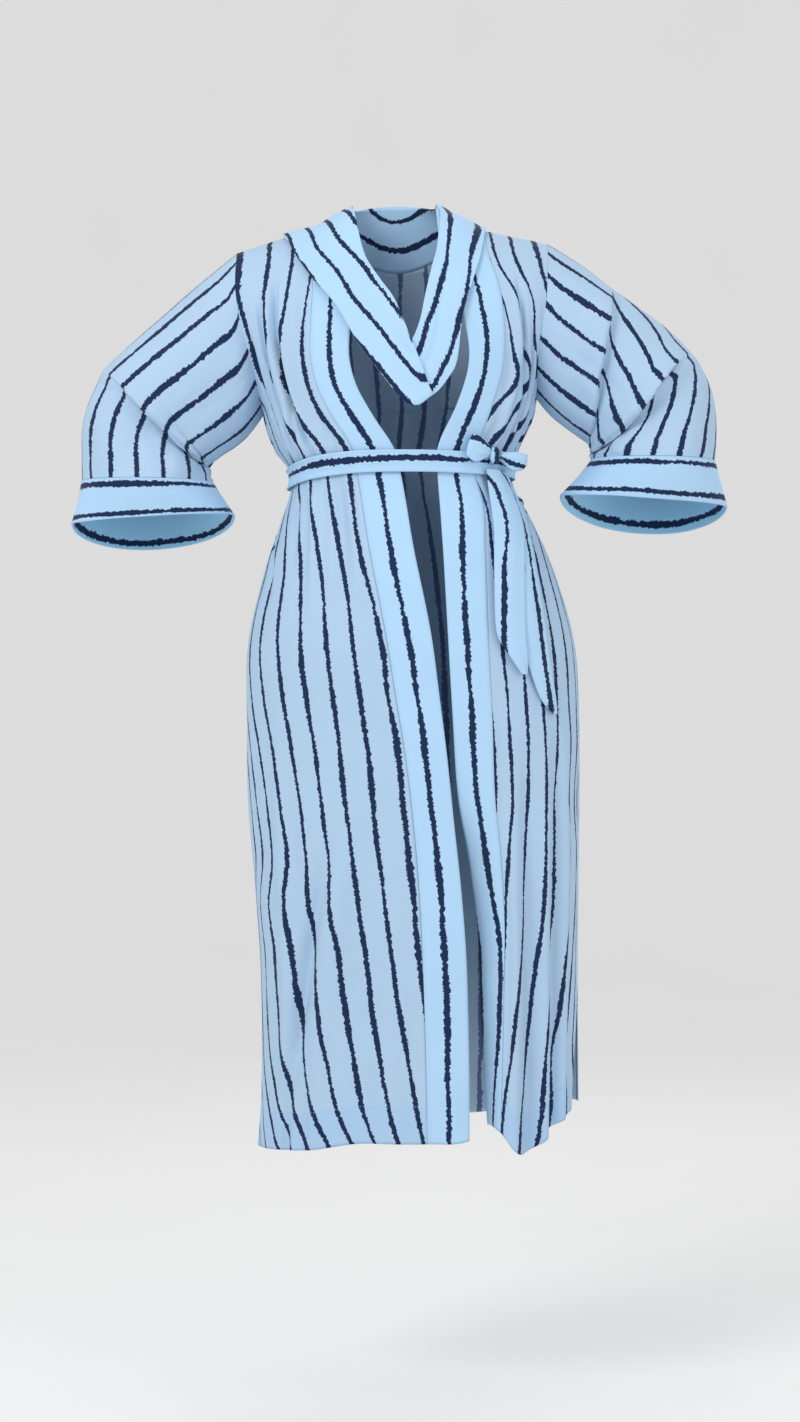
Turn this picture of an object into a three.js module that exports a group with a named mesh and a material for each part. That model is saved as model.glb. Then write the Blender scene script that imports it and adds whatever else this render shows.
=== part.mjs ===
// Maxi kimono: an open-front robe of light cloth, worn, with its own tied belt.
//
// Millimetres. +Z is up, the front faces -Y, and +X is the wearer's left.
// The origin lies midway between the shoulders, where the wearer carries it, about 230 mm above the
// underarms.
//
// The body is one smooth skin: a dome over the shoulders that runs down into superellipse sections.
// Panels, bands, belt, collar and tails are all stretches of that skin, moved out by their own lift.
// Columns run from the +X side across the front to the -X side and on across the back, and rows run
// down, so that the cross product of the two points out of the garment everywhere.

import * as THREE from 'three';

// ---------------------------------------------------------------- driving dimensions

const PANEL_WALL = 1.6;
const BAND_WALL = 2.2;
const DRAPE_WALL = 2.0;
const BELT_WALL = 2.4;
const SEAM = 0.3;

const HEM = -1200;
const SECTION_POWER = 2.3;
const DOME_POWER = 2.1;
const UPPER_CENTRE = 7.5;
const CHEST_DEPTH = 133;
const BLADE_DEPTH = 108;
const ARMHOLE_SHARE = 0.68;
const NECK_STAND = 16;
const NECK_STAND_BACK = 18;
const NECK_SEAM = { centre: 6, halfWidth: 106, depth: 78 };
const NECK_EDGE = { halfWidth: 54, depth: 52 };

const BELT_WIDTH = 29;
const BELT_HEIGHT = { front: -310, left: -313, back: -318, right: -328 };
const BELT_LIFT = 5.5;
const WAIST_RELIEF = 0.3;
const BELT_STEPS = 56;
const BELT_ROWS = 2;

const UPPER_ROWS = 10;
const LOWER_SHARES = [
  0.023, 0.047, 0.066, 0.083, 0.104, 0.13, 0.167, 0.214, 0.271, 0.333,
  0.406, 0.49, 0.573, 0.656, 0.74, 0.823, 0.896, 0.953, 1,
];
const FRONT_COLUMNS = 20;
const SHOULDER_COLUMNS = 7;
const NECK_COLUMNS = 14;
const BAND_COLUMNS = 2;
const SWING_POWER = 1.4;
const ARMHOLE_ROUND = { power: 5, share: 0.55 };
const NECK_STAND_FADE = 50;
const RISE_POWER = 1.5;
const KNOT_RINGS = 8;
const KNOT_AROUND = 14;
const KNOT_ROUND = 0.8;
const KNOT_GIRTH_ROUND = 0.9;
const LOOP_ROWS = 3;
const LOOP_PINCH = { share: 0.5, reach: 0.7 };
const TAIL_COLUMNS = 3;

// Body sections below the underarm: side seams and depths before and behind the side seams' plane.
const BODY = [
  { z: -200, right: -172, left: 187, front: 133, back: 108 },
  { z: -240, right: -172, left: 185, front: 132, back: 107 },
  { z: -288, right: -156, left: 164, front: 125, back: 101 },
  { z: -322, right: -133, left: 154, front: 119, back: 98 },
  { z: -345, right: -136, left: 160, front: 121, back: 101 },
  { z: -380, right: -147, left: 180, front: 132, back: 116 },
  { z: -450, right: -170, left: 211, front: 145, back: 138 },
  { z: -540, right: -191, left: 237, front: 150, back: 150 },
  { z: -640, right: -193, left: 244, front: 150, back: 152 },
  { z: -750, right: -192, left: 244, front: 150, back: 150 },
  { z: -860, right: -183, left: 243, front: 150, back: 149 },
  { z: -960, right: -176, left: 242, front: 150, back: 149 },
  { z: -1150, right: -175, left: 244, front: 150, back: 150 },
  { z: -1230, right: -182, left: 245, front: 150, back: 151 },
];

// The shoulder line, over which the front turns into the back.
const SHOULDER = [
  { x: -206, z: -29 },
  { x: -147, z: -10 },
  { x: -100, z: 3 },
  { x: -60, z: 12 },
  { x: 0, z: 16 },
  { x: 60, z: 14 },
  { x: 119, z: 0 },
  { x: 202, z: -17 },
];

// Armhole seams, from the dropped shoulder point to the underarm.
const ARMHOLE = {
  right: [
    { z: -29, x: -206 },
    { z: -83, x: -206 },
    { z: -130, x: -199 },
    { z: -173, x: -187 },
    { z: -212, x: -178 },
    { z: -240, x: -172 },
  ],
  left: [
    { z: -17, x: 202 },
    { z: -60, x: 200 },
    { z: -97, x: 198 },
    { z: -148, x: 190 },
    { z: -190, x: 187 },
    { z: -218, x: 187 },
  ],
};

// Front bands: the edge that borders the opening, the seam to the panel, and how far the edge swings in.
const BAND_RIGHT = [
  { z: 16, edge: -54, seam: -100, swing: 0 },
  { z: -30, edge: -57, seam: -102, swing: 0 },
  { z: -99, edge: -57, seam: -105, swing: 0 },
  { z: -136, edge: -56, seam: -107, swing: 0 },
  { z: -178, edge: -57, seam: -107, swing: 0 },
  { z: -216, edge: -47, seam: -98, swing: 0 },
  { z: -254, edge: -26, seam: -79, swing: 0 },
  { z: -296, edge: 1, seam: -53, swing: 0 },
  { z: -327, edge: 9, seam: -47, swing: 0 },
  { z: -420, edge: 25, seam: -32, swing: 0 },
  { z: -535, edge: 48, seam: -10, swing: 0 },
  { z: -610, edge: 58, seam: 2, swing: 0 },
  { z: -690, edge: 68, seam: 15, swing: 0 },
  { z: -784, edge: 78, seam: 26, swing: 0 },
  { z: -870, edge: 87, seam: 33, swing: 0 },
  { z: -980, edge: 94, seam: 38, swing: 3 },
  { z: -1200, edge: 97, seam: 44, swing: 6 },
];
const BAND_LEFT = [
  { z: 16, edge: 54, seam: 112, swing: 0 },
  { z: -35, edge: 60, seam: 122, swing: 0 },
  { z: -85, edge: 78, seam: 137, swing: 0 },
  { z: -136, edge: 92, seam: 143, swing: 0 },
  { z: -168, edge: 97, seam: 143, swing: 0 },
  { z: -194, edge: 95, seam: 140, swing: 0 },
  { z: -238, edge: 81, seam: 127, swing: 0 },
  { z: -295, edge: 56, seam: 108, swing: 0 },
  { z: -322, edge: 56, seam: 105, swing: 0 },
  { z: -365, edge: 59, seam: 116, swing: 0 },
  { z: -424, edge: 63, seam: 118, swing: 0 },
  { z: -530, edge: 69, seam: 121, swing: 2 },
  { z: -635, edge: 75, seam: 126, swing: 4 },
  { z: -746, edge: 83, seam: 130, swing: 12 },
  { z: -816, edge: 96, seam: 137, swing: 26 },
  { z: -904, edge: 107, seam: 142, swing: 35 },
  { z: -1000, edge: 112, seam: 141, swing: 40 },
  { z: -1200, edge: 124, seam: 136, swing: 46 },
];

// Hems: height at each x, in front and behind.
const HEM_FRONT = [
  { x: -190, z: -1203 },
  { x: -141, z: -1199 },
  { x: -107, z: -1196 },
  { x: -51, z: -1186 },
  { x: 44, z: -1185 },
  { x: 97, z: -1182 },
  { x: 124, z: -1165 },
  { x: 137, z: -1172 },
  { x: 150, z: -1194 },
  { x: 168, z: -1201 },
  { x: 185, z: -1190 },
  { x: 207, z: -1168 },
  { x: 245, z: -1140 },
];
const HEM_BACK = [
  { x: -190, z: -1203 },
  { x: -60, z: -1190 },
  { x: 120, z: -1178 },
  { x: 250, z: -1146 },
];

// Side slits: where they start, and the angle by which the front's edge has swung forward at the hem.
const SLIT_TOP = -905;
const SLIT_ANGLE = { right: 0.07, left: 0.38 };
const SLIT_BACK_ANGLE = 0.05;

// Folds of the panels. Each runs from its top to its bottom height along a soft curve through three x
// places. A positive depth is a ridge, a negative one a trough. fadeTop and fadeBottom are the lengths
// over which it rises and dies away.
const FOLDS_FRONT_RIGHT = [
  { top: -45, bottom: -400, x: [-194, -158, -124], width: 9, depth: 5, fadeTop: 70, fadeBottom: 70 },
  { top: -40, bottom: -420, x: [-178, -143, -112], width: 8, depth: -5, fadeTop: 70, fadeBottom: 80 },
  { top: -40, bottom: -400, x: [-162, -128, -101], width: 8, depth: 5, fadeTop: 60, fadeBottom: 70 },
  { top: -70, bottom: -460, x: [-146, -114, -92], width: 8, depth: -4, fadeTop: 60, fadeBottom: 90 },
  { top: -120, bottom: -560, x: [-128, -98, -104], width: 9, depth: 4, fadeTop: 70, fadeBottom: 150 },
  { top: -240, bottom: -580, x: [-92, -66, -70], width: 8, depth: -4, fadeTop: 50, fadeBottom: 180 },
  { top: -260, bottom: -540, x: [-72, -50, -44], width: 8, depth: 3.5, fadeTop: 40, fadeBottom: 160 },
  { top: -560, bottom: -1230, x: [-160, -140, -132], width: 14, depth: 5, fadeTop: 240, fadeBottom: 0 },
  { top: -760, bottom: -1230, x: [-74, -118, -142], width: 12, depth: -8, fadeTop: 160, fadeBottom: 0 },
  { top: -720, bottom: -1230, x: [-52, -86, -104], width: 15, depth: 6, fadeTop: 220, fadeBottom: 0 },
  { top: -700, bottom: -1230, x: [-20, -38, -44], width: 18, depth: -4, fadeTop: 260, fadeBottom: 0 },
  { top: -820, bottom: -1230, x: [4, 2, 0], width: 18, depth: 3, fadeTop: 200, fadeBottom: 0 },
];
const FOLDS_FRONT_LEFT = [
  { top: -70, bottom: -400, x: [196, 172, 152], width: 7, depth: 4.5, fadeTop: 70, fadeBottom: 60 },
  { top: -60, bottom: -420, x: [184, 162, 146], width: 6.5, depth: -4.5, fadeTop: 60, fadeBottom: 70 },
  { top: -55, bottom: -400, x: [172, 153, 140], width: 6.5, depth: 4.5, fadeTop: 60, fadeBottom: 60 },
  { top: -70, bottom: -430, x: [161, 146, 134], width: 6, depth: -4, fadeTop: 60, fadeBottom: 70 },
  { top: -110, bottom: -440, x: [152, 137, 128], width: 6, depth: 4, fadeTop: 60, fadeBottom: 80 },
  { top: -300, bottom: -560, x: [158, 172, 186], width: 9, depth: 4, fadeTop: 40, fadeBottom: 160 },
  { top: -300, bottom: -600, x: [146, 156, 166], width: 8, depth: -4, fadeTop: 40, fadeBottom: 180 },
  { top: -640, bottom: -1230, x: [150, 152, 152], width: 13, depth: 7, fadeTop: 260, fadeBottom: 0 },
  { top: -620, bottom: -1230, x: [168, 174, 172], width: 11, depth: -5, fadeTop: 240, fadeBottom: 0 },
  { top: -560, bottom: -1230, x: [194, 194, 190], width: 10, depth: 5, fadeTop: 260, fadeBottom: 0 },
  { top: -600, bottom: -1230, x: [212, 208, 203], width: 9, depth: -5, fadeTop: 240, fadeBottom: 0 },
  { top: -640, bottom: -1230, x: [226, 220, 214], width: 9, depth: 4, fadeTop: 240, fadeBottom: 0 },
];
const FOLDS_BACK = [
  { top: -90, bottom: -470, x: [-150, -128, -112], width: 13, depth: 5, fadeTop: 110, fadeBottom: 120 },
  { top: -120, bottom: -500, x: [-118, -102, -94], width: 12, depth: -5, fadeTop: 100, fadeBottom: 140 },
  { top: -150, bottom: -480, x: [-86, -76, -72], width: 12, depth: 5, fadeTop: 90, fadeBottom: 130 },
  { top: -170, bottom: -520, x: [-54, -48, -48], width: 12, depth: -4.5, fadeTop: 90, fadeBottom: 150 },
  { top: -180, bottom: -490, x: [-20, -18, -20], width: 12, depth: 4.5, fadeTop: 80, fadeBottom: 140 },
  { top: -170, bottom: -530, x: [14, 12, 12], width: 12, depth: -5, fadeTop: 90, fadeBottom: 150 },
  { top: -160, bottom: -490, x: [50, 44, 46], width: 12, depth: 5, fadeTop: 90, fadeBottom: 140 },
  { top: -140, bottom: -520, x: [86, 76, 80], width: 12, depth: -5, fadeTop: 100, fadeBottom: 150 },
  { top: -110, bottom: -480, x: [122, 106, 114], width: 12, depth: 5, fadeTop: 100, fadeBottom: 130 },
  { top: -90, bottom: -500, x: [158, 136, 142], width: 12, depth: -4, fadeTop: 110, fadeBottom: 140 },
  { top: -560, bottom: -1230, x: [-150, -140, -136], width: 20, depth: 6, fadeTop: 300, fadeBottom: 0 },
  { top: -600, bottom: -1230, x: [-96, -88, -84], width: 22, depth: -7, fadeTop: 300, fadeBottom: 0 },
  { top: -560, bottom: -1230, x: [-38, -30, -26], width: 22, depth: 7, fadeTop: 320, fadeBottom: 0 },
  { top: -640, bottom: -1230, x: [26, 34, 38], width: 22, depth: -7, fadeTop: 280, fadeBottom: 0 },
  { top: -560, bottom: -1230, x: [88, 98, 100], width: 22, depth: 7, fadeTop: 300, fadeBottom: 0 },
  { top: -600, bottom: -1230, x: [152, 160, 160], width: 20, depth: -6, fadeTop: 300, fadeBottom: 0 },
  { top: -640, bottom: -1230, x: [206, 212, 210], width: 14, depth: 4, fadeTop: 260, fadeBottom: 0 },
];

// Sleeve rings from the armhole to the cuff seam: outer and inner edge, depths before and behind.
const SLEEVE_RIGHT = [
  { outX: -206, outZ: -29, inX: -172, inZ: -240, front: 72, back: 60, tilt: 0 },
  { outX: -232, outZ: -50, inX: -184, inZ: -258, front: 79, back: 68, tilt: 0 },
  { outX: -262, outZ: -75, inX: -199, inZ: -275, front: 84, back: 75, tilt: 0 },
  { outX: -302, outZ: -111, inX: -221, inZ: -292, front: 88, back: 82, tilt: 0 },
  { outX: -345, outZ: -149, inX: -238, inZ: -303, front: 93, back: 86, tilt: 0 },
  { outX: -380, outZ: -181, inX: -244, inZ: -309, front: 99, back: 88, tilt: 0 },
  { outX: -390, outZ: -200, inX: -244, inZ: -312, front: 86, back: 89, tilt: 2 },
  { outX: -404, outZ: -230, inX: -243, inZ: -316, front: 87, back: 91, tilt: 4 },
  { outX: -411, outZ: -262, inX: -241, inZ: -320, front: 92, back: 93, tilt: 8 },
  { outX: -411, outZ: -296, inX: -240, inZ: -325, front: 96, back: 96, tilt: 12 },
  { outX: -411, outZ: -329, inX: -239, inZ: -331, front: 98, back: 98, tilt: 16 },
];
const SLEEVE_LEFT = [
  { outX: 202, outZ: -17, inX: 187, inZ: -218, front: 72, back: 60, tilt: 0 },
  { outX: 226, outZ: -31, inX: 205, inZ: -240, front: 78, back: 68, tilt: 0 },
  { outX: 254, outZ: -50, inX: 228, inZ: -260, front: 82, back: 73, tilt: 0 },
  { outX: 281, outZ: -72, inX: 252, inZ: -277, front: 92, back: 76, tilt: 0 },
  { outX: 292, outZ: -80, inX: 256, inZ: -281, front: 78, back: 78, tilt: 0 },
  { outX: 327, outZ: -104, inX: 259, inZ: -286, front: 85, back: 83, tilt: 0 },
  { outX: 365, outZ: -134, inX: 260, inZ: -289, front: 92, back: 87, tilt: 0 },
  { outX: 393, outZ: -163, inX: 260, inZ: -291, front: 98, back: 90, tilt: 0 },
  { outX: 405, outZ: -180, inX: 260, inZ: -293, front: 86, back: 91, tilt: 2 },
  { outX: 418, outZ: -207, inX: 260, inZ: -295, front: 88, back: 93, tilt: 5 },
  { outX: 424, outZ: -240, inX: 260, inZ: -297, front: 93, back: 95, tilt: 9 },
  { outX: 425, outZ: -272, inX: 261, inZ: -299, front: 97, back: 98, tilt: 13 },
  { outX: 423, outZ: -303, inX: 261, inZ: -301, front: 99, back: 100, tilt: 17 },
];
const CUFF_RIGHT = [
  { outX: -411, outZ: -329, inX: -239, inZ: -331, front: 98, back: 98, tilt: 16 },
  { outX: -417, outZ: -357, inX: -225, inZ: -352, front: 91, back: 91, tilt: 24 },
  { outX: -426, outZ: -386, inX: -210, inZ: -373, front: 82, back: 82, tilt: 36 },
];
const CUFF_LEFT = [
  { outX: 423, outZ: -303, inX: 261, inZ: -301, front: 99, back: 100, tilt: 17 },
  { outX: 431, outZ: -333, inX: 242, inZ: -325, front: 92, back: 92, tilt: 26 },
  { outX: 440, outZ: -363, inX: 220, inZ: -348, front: 82, back: 82, tilt: 38 },
];
const SLEEVE_RING_POWER = 2;

// Folds of the sleeves, by share of the way to the cuff and by angle from the outer edge, front positive.
const SLEEVE_FOLDS_RIGHT = [
  { from: 0.05, to: 0.6, start: 1.0, end: 1.2, width: 0.2, depth: 3 },
  { from: 0.12, to: 0.6, start: 1.9, end: 1.9, width: 0.2, depth: -3.5 },
  { from: 0.1, to: 0.58, start: 2.55, end: 2.4, width: 0.16, depth: 3.5 },
  { from: 0.5, to: 1.1, start: 1.7, end: 1.3, width: 0.22, depth: -5 },
  { from: 0.55, to: 1.1, start: 2.3, end: 2.1, width: 0.22, depth: 4 },
  { from: 0.1, to: 0.7, start: -1.2, end: -1.5, width: 0.25, depth: -4 },
  { from: 0.2, to: 0.9, start: -2.1, end: -2.3, width: 0.25, depth: 4 },
];
const SLEEVE_FOLDS_LEFT = [
  { from: 0.04, to: 0.5, start: 0.9, end: 1.0, width: 0.2, depth: 3 },
  { from: 0.1, to: 0.5, start: 1.7, end: 1.8, width: 0.2, depth: -3.5 },
  { from: 0.08, to: 0.45, start: 2.5, end: 2.4, width: 0.16, depth: 3 },
  { from: 0.6, to: 1.1, start: 1.7, end: 1.4, width: 0.22, depth: -5 },
  { from: 0.6, to: 1.1, start: 2.3, end: 2.2, width: 0.22, depth: 4 },
  { from: 0.1, to: 0.7, start: -1.3, end: -1.5, width: 0.25, depth: -4 },
  { from: 0.2, to: 0.9, start: -2.1, end: -2.2, width: 0.25, depth: 4 },
];

// Draped collar, a closed loop. turn is the place over the shoulder: -1 is the underarm level in front,
// 0 the shoulder line, 1 the underarm level behind. lift is the distance out from the skin, and rise
// the height by which the edge stands up round the neck.
const DRAPE = [
  { inX: 26, inTurn: -0.854, inLift: 13, inRise: 0, outX: 44, outTurn: -0.985, outLift: 15 },
  { inX: 14, inTurn: -0.79, inLift: 12, inRise: 0, outX: 8, outTurn: -1, outLift: 14 },
  { inX: 0, inTurn: -0.711, inLift: 9, inRise: 0, outX: -40, outTurn: -0.843, outLift: 10 },
  { inX: -18, inTurn: -0.628, inLift: 7, inRise: 0, outX: -75, outTurn: -0.712, outLift: 8 },
  { inX: -36, inTurn: -0.52, inLift: 6, inRise: 0, outX: -106, outTurn: -0.576, outLift: 7 },
  { inX: -48, inTurn: -0.34, inLift: 6, inRise: 0, outX: -130, outTurn: -0.38, outLift: 6 },
  { inX: -54, inTurn: -0.06, inLift: 3.8, inRise: 0, outX: -144, outTurn: -0.06, outLift: 5 },
  { inX: -48, inTurn: 0.28, inLift: 3, inRise: 24, outX: -120, outTurn: 0.36, outLift: 5 },
  { inX: -27, inTurn: 0.44, inLift: 3, inRise: 40, outX: -68, outTurn: 0.6, outLift: 5 },
  { inX: 2, inTurn: 0.49, inLift: 3, inRise: 46, outX: 2, outTurn: 0.68, outLift: 5 },
  { inX: 30, inTurn: 0.44, inLift: 3, inRise: 40, outX: 70, outTurn: 0.6, outLift: 5 },
  { inX: 50, inTurn: 0.28, inLift: 3, inRise: 24, outX: 112, outTurn: 0.36, outLift: 5 },
  { inX: 55, inTurn: -0.06, inLift: 3.6, inRise: 0, outX: 120, outTurn: -0.06, outLift: 5 },
  { inX: 59, inTurn: -0.276, inLift: 5.5, inRise: 0, outX: 113, outTurn: -0.43, outLift: 5 },
  { inX: 56, inTurn: -0.457, inLift: 5, inRise: 0, outX: 101, outTurn: -0.619, outLift: 6 },
  { inX: 49, inTurn: -0.575, inLift: 6, inRise: 0, outX: 88, outTurn: -0.756, outLift: 6 },
  { inX: 40, inTurn: -0.7, inLift: 6, inRise: 0, outX: 76, outTurn: -0.9, outLift: 7 },
  { inX: 33, inTurn: -0.79, inLift: 7, inRise: 0, outX: 61, outTurn: -0.965, outLift: 9 },
];
const DRAPE_STEPS = 54;
const DRAPE_COLUMNS = 5;

// Belt tails: left and right edge of each station, and its lift from the skin.
const TAIL_FRONT = [
  { leftX: 112, leftZ: -319, rightX: 127, rightZ: -319, lift: 12.6 },
  { leftX: 117, leftZ: -350, rightX: 145, rightZ: -351, lift: 12 },
  { leftX: 124, leftZ: -394, rightX: 161, rightZ: -396, lift: 11.6 },
  { leftX: 125, leftZ: -455, rightX: 163, rightZ: -458, lift: 11.6 },
  { leftX: 128, leftZ: -528, rightX: 165, rightZ: -536, lift: 11.6 },
  { leftX: 141, leftZ: -556, rightX: 167, rightZ: -562, lift: 11.6 },
  { leftX: 160, leftZ: -585, rightX: 167, rightZ: -585, lift: 11.6 },
];
const TAIL_SIDE = [
  { leftX: 124, leftZ: -325, rightX: 136, rightZ: -319, lift: 8.8 },
  { leftX: 121, leftZ: -345, rightX: 143, rightZ: -341, lift: 8.4 },
  { leftX: 126, leftZ: -404, rightX: 159, rightZ: -392, lift: 8 },
  { leftX: 140, leftZ: -463, rightX: 175, rightZ: -448, lift: 8 },
  { leftX: 155, leftZ: -522, rightX: 190, rightZ: -512, lift: 8 },
  { leftX: 167, leftZ: -564, rightX: 198, rightZ: -570, lift: 8 },
  { leftX: 185, leftZ: -614, rightX: 205, rightZ: -618, lift: 8 },
  { leftX: 201, leftZ: -635, rightX: 206, rightZ: -636, lift: 8 },
];

// The knot, and the loops that leave it: roots, tips, widths, and the spread of their two layers.
const KNOT = { x: 134, y: -95.2, z: -302, halfWidth: 6.5, halfHeight: 11, halfDepth: 8, slope: 0.9 };
const LOOP_INNER = { x: 127.05, y: -102, z: -299, toX: 100, toY: -121.5, toZ: -295, width: 36, spread: 11 };
const LOOP_OUTER = { x: 141.7, y: -86.8, z: -303, toX: 170, toY: -77, toZ: -312, width: 25, spread: 11 };
const LOOP_COLUMNS = 16;
const TAIL_STEPS = 3;

// Colours of the cloth, as sRGB.
const CLOTH_COLOUR = 0xb2d0ec;
const DOUBLED_COLOUR = 0xabd9fc;
const CLOTH_ROUGHNESS = 0.75;

// ---------------------------------------------------------------- small tools

function mix(a, b, t) {
  return a + (b - a) * t;
}

function clamp01(t) {
  return Math.min(1, Math.max(0, t));
}

function smooth(t) {
  const c = clamp01(t);
  return c * c * (3 - 2 * c);
}

function signedPower(value, power) {
  return Math.sign(value) * Math.abs(value) ** power;
}

// Reads a column of a table at a key that rises or falls steadily: a cubic through the rows whose
// slopes are the means of the neighbouring chords.
function read(table, key, column, at) {
  const falling = table[0][key] > table[table.length - 1][key];
  const rows = falling ? [...table].reverse() : table;
  const last = rows.length - 1;
  const place = Math.min(Math.max(at, rows[0][key]), rows[last][key]);
  let k = 0;
  while (k < last - 1 && rows[k + 1][key] < place) {
    k += 1;
  }
  const chord = (i) => (rows[i + 1][column] - rows[i][column]) / (rows[i + 1][key] - rows[i][key]);
  const slope = (i) => {
    if (i === 0) return chord(0);
    if (i === last) return chord(last - 1);
    return (chord(i - 1) + chord(i)) / 2;
  };
  const span = rows[k + 1][key] - rows[k][key];
  const t = (place - rows[k][key]) / span;
  const t2 = t * t;
  const t3 = t2 * t;
  return rows[k][column] * (2 * t3 - 3 * t2 + 1)
    + slope(k) * span * (t3 - 2 * t2 + t)
    + rows[k + 1][column] * (3 * t2 - 2 * t3)
    + slope(k + 1) * span * (t3 - t2);
}

// Reads every column of a table whose rows are evenly spaced stations, at a share of its length.
function station(table, share, closed = false) {
  const count = closed ? table.length : table.length - 1;
  const at = share * count;
  const k = Math.min(Math.floor(at), count - 1);
  const t = at - k;
  const row = (i) => {
    if (closed) return table[(i + table.length) % table.length];
    return table[Math.min(Math.max(i, 0), table.length - 1)];
  };
  const result = {};
  for (const column of Object.keys(table[0])) {
    const [a, b, c, d] = [row(k - 1), row(k), row(k + 1), row(k + 2)].map((r) => r[column]);
    result[column] = b + 0.5 * t * (c - a + t * (2 * a - 5 * b + 4 * c - d + t * (3 * (b - c) + d - a)));
  }
  return result;
}

// ---------------------------------------------------------------- the skin

// The rows of the body: a turn over the shoulder from 0 to 1, then a share of the way to the hem.
const ROWS = [];
for (let k = 0; k <= UPPER_ROWS; k += 1) {
  ROWS.push({ turn: Math.sin((Math.PI / 2) * (k / UPPER_ROWS)), share: 0 });
}
for (const share of LOWER_SHARES) {
  ROWS.push({ turn: 1, share });
}

function shoulderHeight(x) {
  return read(SHOULDER, 'x', 'z', x);
}

function underarmHeight(x) {
  const right = ARMHOLE.right[ARMHOLE.right.length - 1];
  const left = ARMHOLE.left[ARMHOLE.left.length - 1];
  return mix(right.z, left.z, clamp01((x - right.x) / (left.x - right.x)));
}

function domeHeight(turn, x) {
  return mix(shoulderHeight(x), underarmHeight(x), Math.abs(turn) ** DOME_POWER);
}

function rowHeight(row, x, hem) {
  if (row.share === 0) return domeHeight(row.turn, x);
  const end = Array.isArray(hem) ? read(hem, 'x', 'z', x) : hem;
  return mix(underarmHeight(x), end, row.share);
}

// The share of the section's depth at which the armhole seam lies, for a turn over the shoulder.
function armholeShare(turn) {
  return ARMHOLE_SHARE * (1 - turn ** ARMHOLE_ROUND.power) ** ARMHOLE_ROUND.share;
}

// The section at a row: centre, half width on one side, depth before and behind.
function section(row, side, z) {
  if (row.share > 0) {
    const right = read(BODY, 'z', 'right', z);
    const left = read(BODY, 'z', 'left', z);
    return {
      centre: (left + right) / 2,
      half: (left - right) / 2,
      front: read(BODY, 'z', 'front', z),
      back: read(BODY, 'z', 'back', z),
      edgeAngle: 0,
    };
  }
  const seam = ARMHOLE[side > 0 ? 'left' : 'right'];
  const top = seam[0].z;
  const bottom = seam[seam.length - 1].z;
  const edge = read(seam, 'z', 'x', mix(top, bottom, row.turn ** DOME_POWER));
  const edgeAngle = Math.asin(armholeShare(row.turn) ** (SECTION_POWER / 2));
  const swell = Math.sin((Math.PI / 2) * row.turn);
  return {
    centre: UPPER_CENTRE,
    half: Math.abs(edge - UPPER_CENTRE) / Math.cos(edgeAngle) ** (2 / SECTION_POWER),
    front: CHEST_DEPTH * swell,
    back: BLADE_DEPTH * swell,
    edgeAngle,
  };
}

// A point of the skin. face is -1 in front and 1 behind, side 1 towards +X. The angle is 0 at the side
// seam and a right angle at the middle.
function skinPoint(row, face, side, angle, hem) {
  let z = rowHeight(row, 0, hem);
  let x = 0;
  let shape = section(row, side, z);
  for (let pass = 0; pass < 3; pass += 1) {
    x = shape.centre + side * shape.half * signedPower(Math.cos(angle), 2 / SECTION_POWER);
    z = rowHeight(row, x, hem);
    shape = section(row, side, z);
  }
  const depth = face < 0 ? shape.front : shape.back;
  const y = face * depth * Math.abs(Math.sin(angle)) ** (2 / SECTION_POWER);
  return new THREE.Vector3(x, y, z);
}

// The angle at which a row of the skin passes a given x.
function angleAt(row, side, x, hem) {
  const shape = section(row, side, rowHeight(row, x, hem));
  const share = THREE.MathUtils.clamp((side * (x - shape.centre)) / shape.half, -1, 1);
  return Math.acos(signedPower(share, SECTION_POWER / 2));
}

// A point over the shoulder by its turn, from -1 in front to 1 behind.
function domePoint(x, turn) {
  const side = x < UPPER_CENTRE ? -1 : 1;
  const row = { turn: Math.min(Math.abs(turn), 1), share: 0 };
  const angle = angleAt(row, side, x, HEM);
  const shape = section(row, side, 0);
  const depth = turn < 0 ? shape.front : shape.back;
  const y = Math.sign(turn) * depth * Math.abs(Math.sin(angle)) ** (2 / SECTION_POWER);
  return new THREE.Vector3(x, y, domeHeight(row.turn, x));
}

// A point of the front below the underarm, straight from its x and z.
function frontPoint(x, z) {
  const right = read(BODY, 'z', 'right', z);
  const left = read(BODY, 'z', 'left', z);
  const centre = (left + right) / 2;
  const share = Math.min(Math.abs(x - centre) / ((left - right) / 2), 1);
  const depth = read(BODY, 'z', 'front', z);
  return new THREE.Vector3(x, -depth * (1 - share ** SECTION_POWER) ** (1 / SECTION_POWER), z);
}

// ---------------------------------------------------------------- sheets and walls

function normalsOf(points, closed) {
  const rows = points.length;
  const columns = points[0].length;
  const across = new THREE.Vector3();
  const down = new THREE.Vector3();
  return points.map((line, i) => line.map((point, j) => {
    const before = closed ? (j + columns - 1) % columns : Math.max(j - 1, 0);
    const after = closed ? (j + 1) % columns : Math.min(j + 1, columns - 1);
    across.subVectors(line[after], line[before]);
    down.subVectors(points[Math.min(i + 1, rows - 1)][j], points[Math.max(i - 1, 0)][j]);
    return new THREE.Vector3().crossVectors(across, down).normalize();
  }));
}

function sheet(points, closed = false) {
  return { points, closed, normals: normalsOf(points, closed) };
}

// Moves each point out along its normal by relief(row, column), then finds the normals again.
function raise(surface, relief) {
  const moved = surface.points.map((line, i) => line.map(
    (point, j) => point.clone().addScaledVector(surface.normals[i][j], relief(i, j)),
  ));
  return sheet(moved, surface.closed);
}

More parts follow.
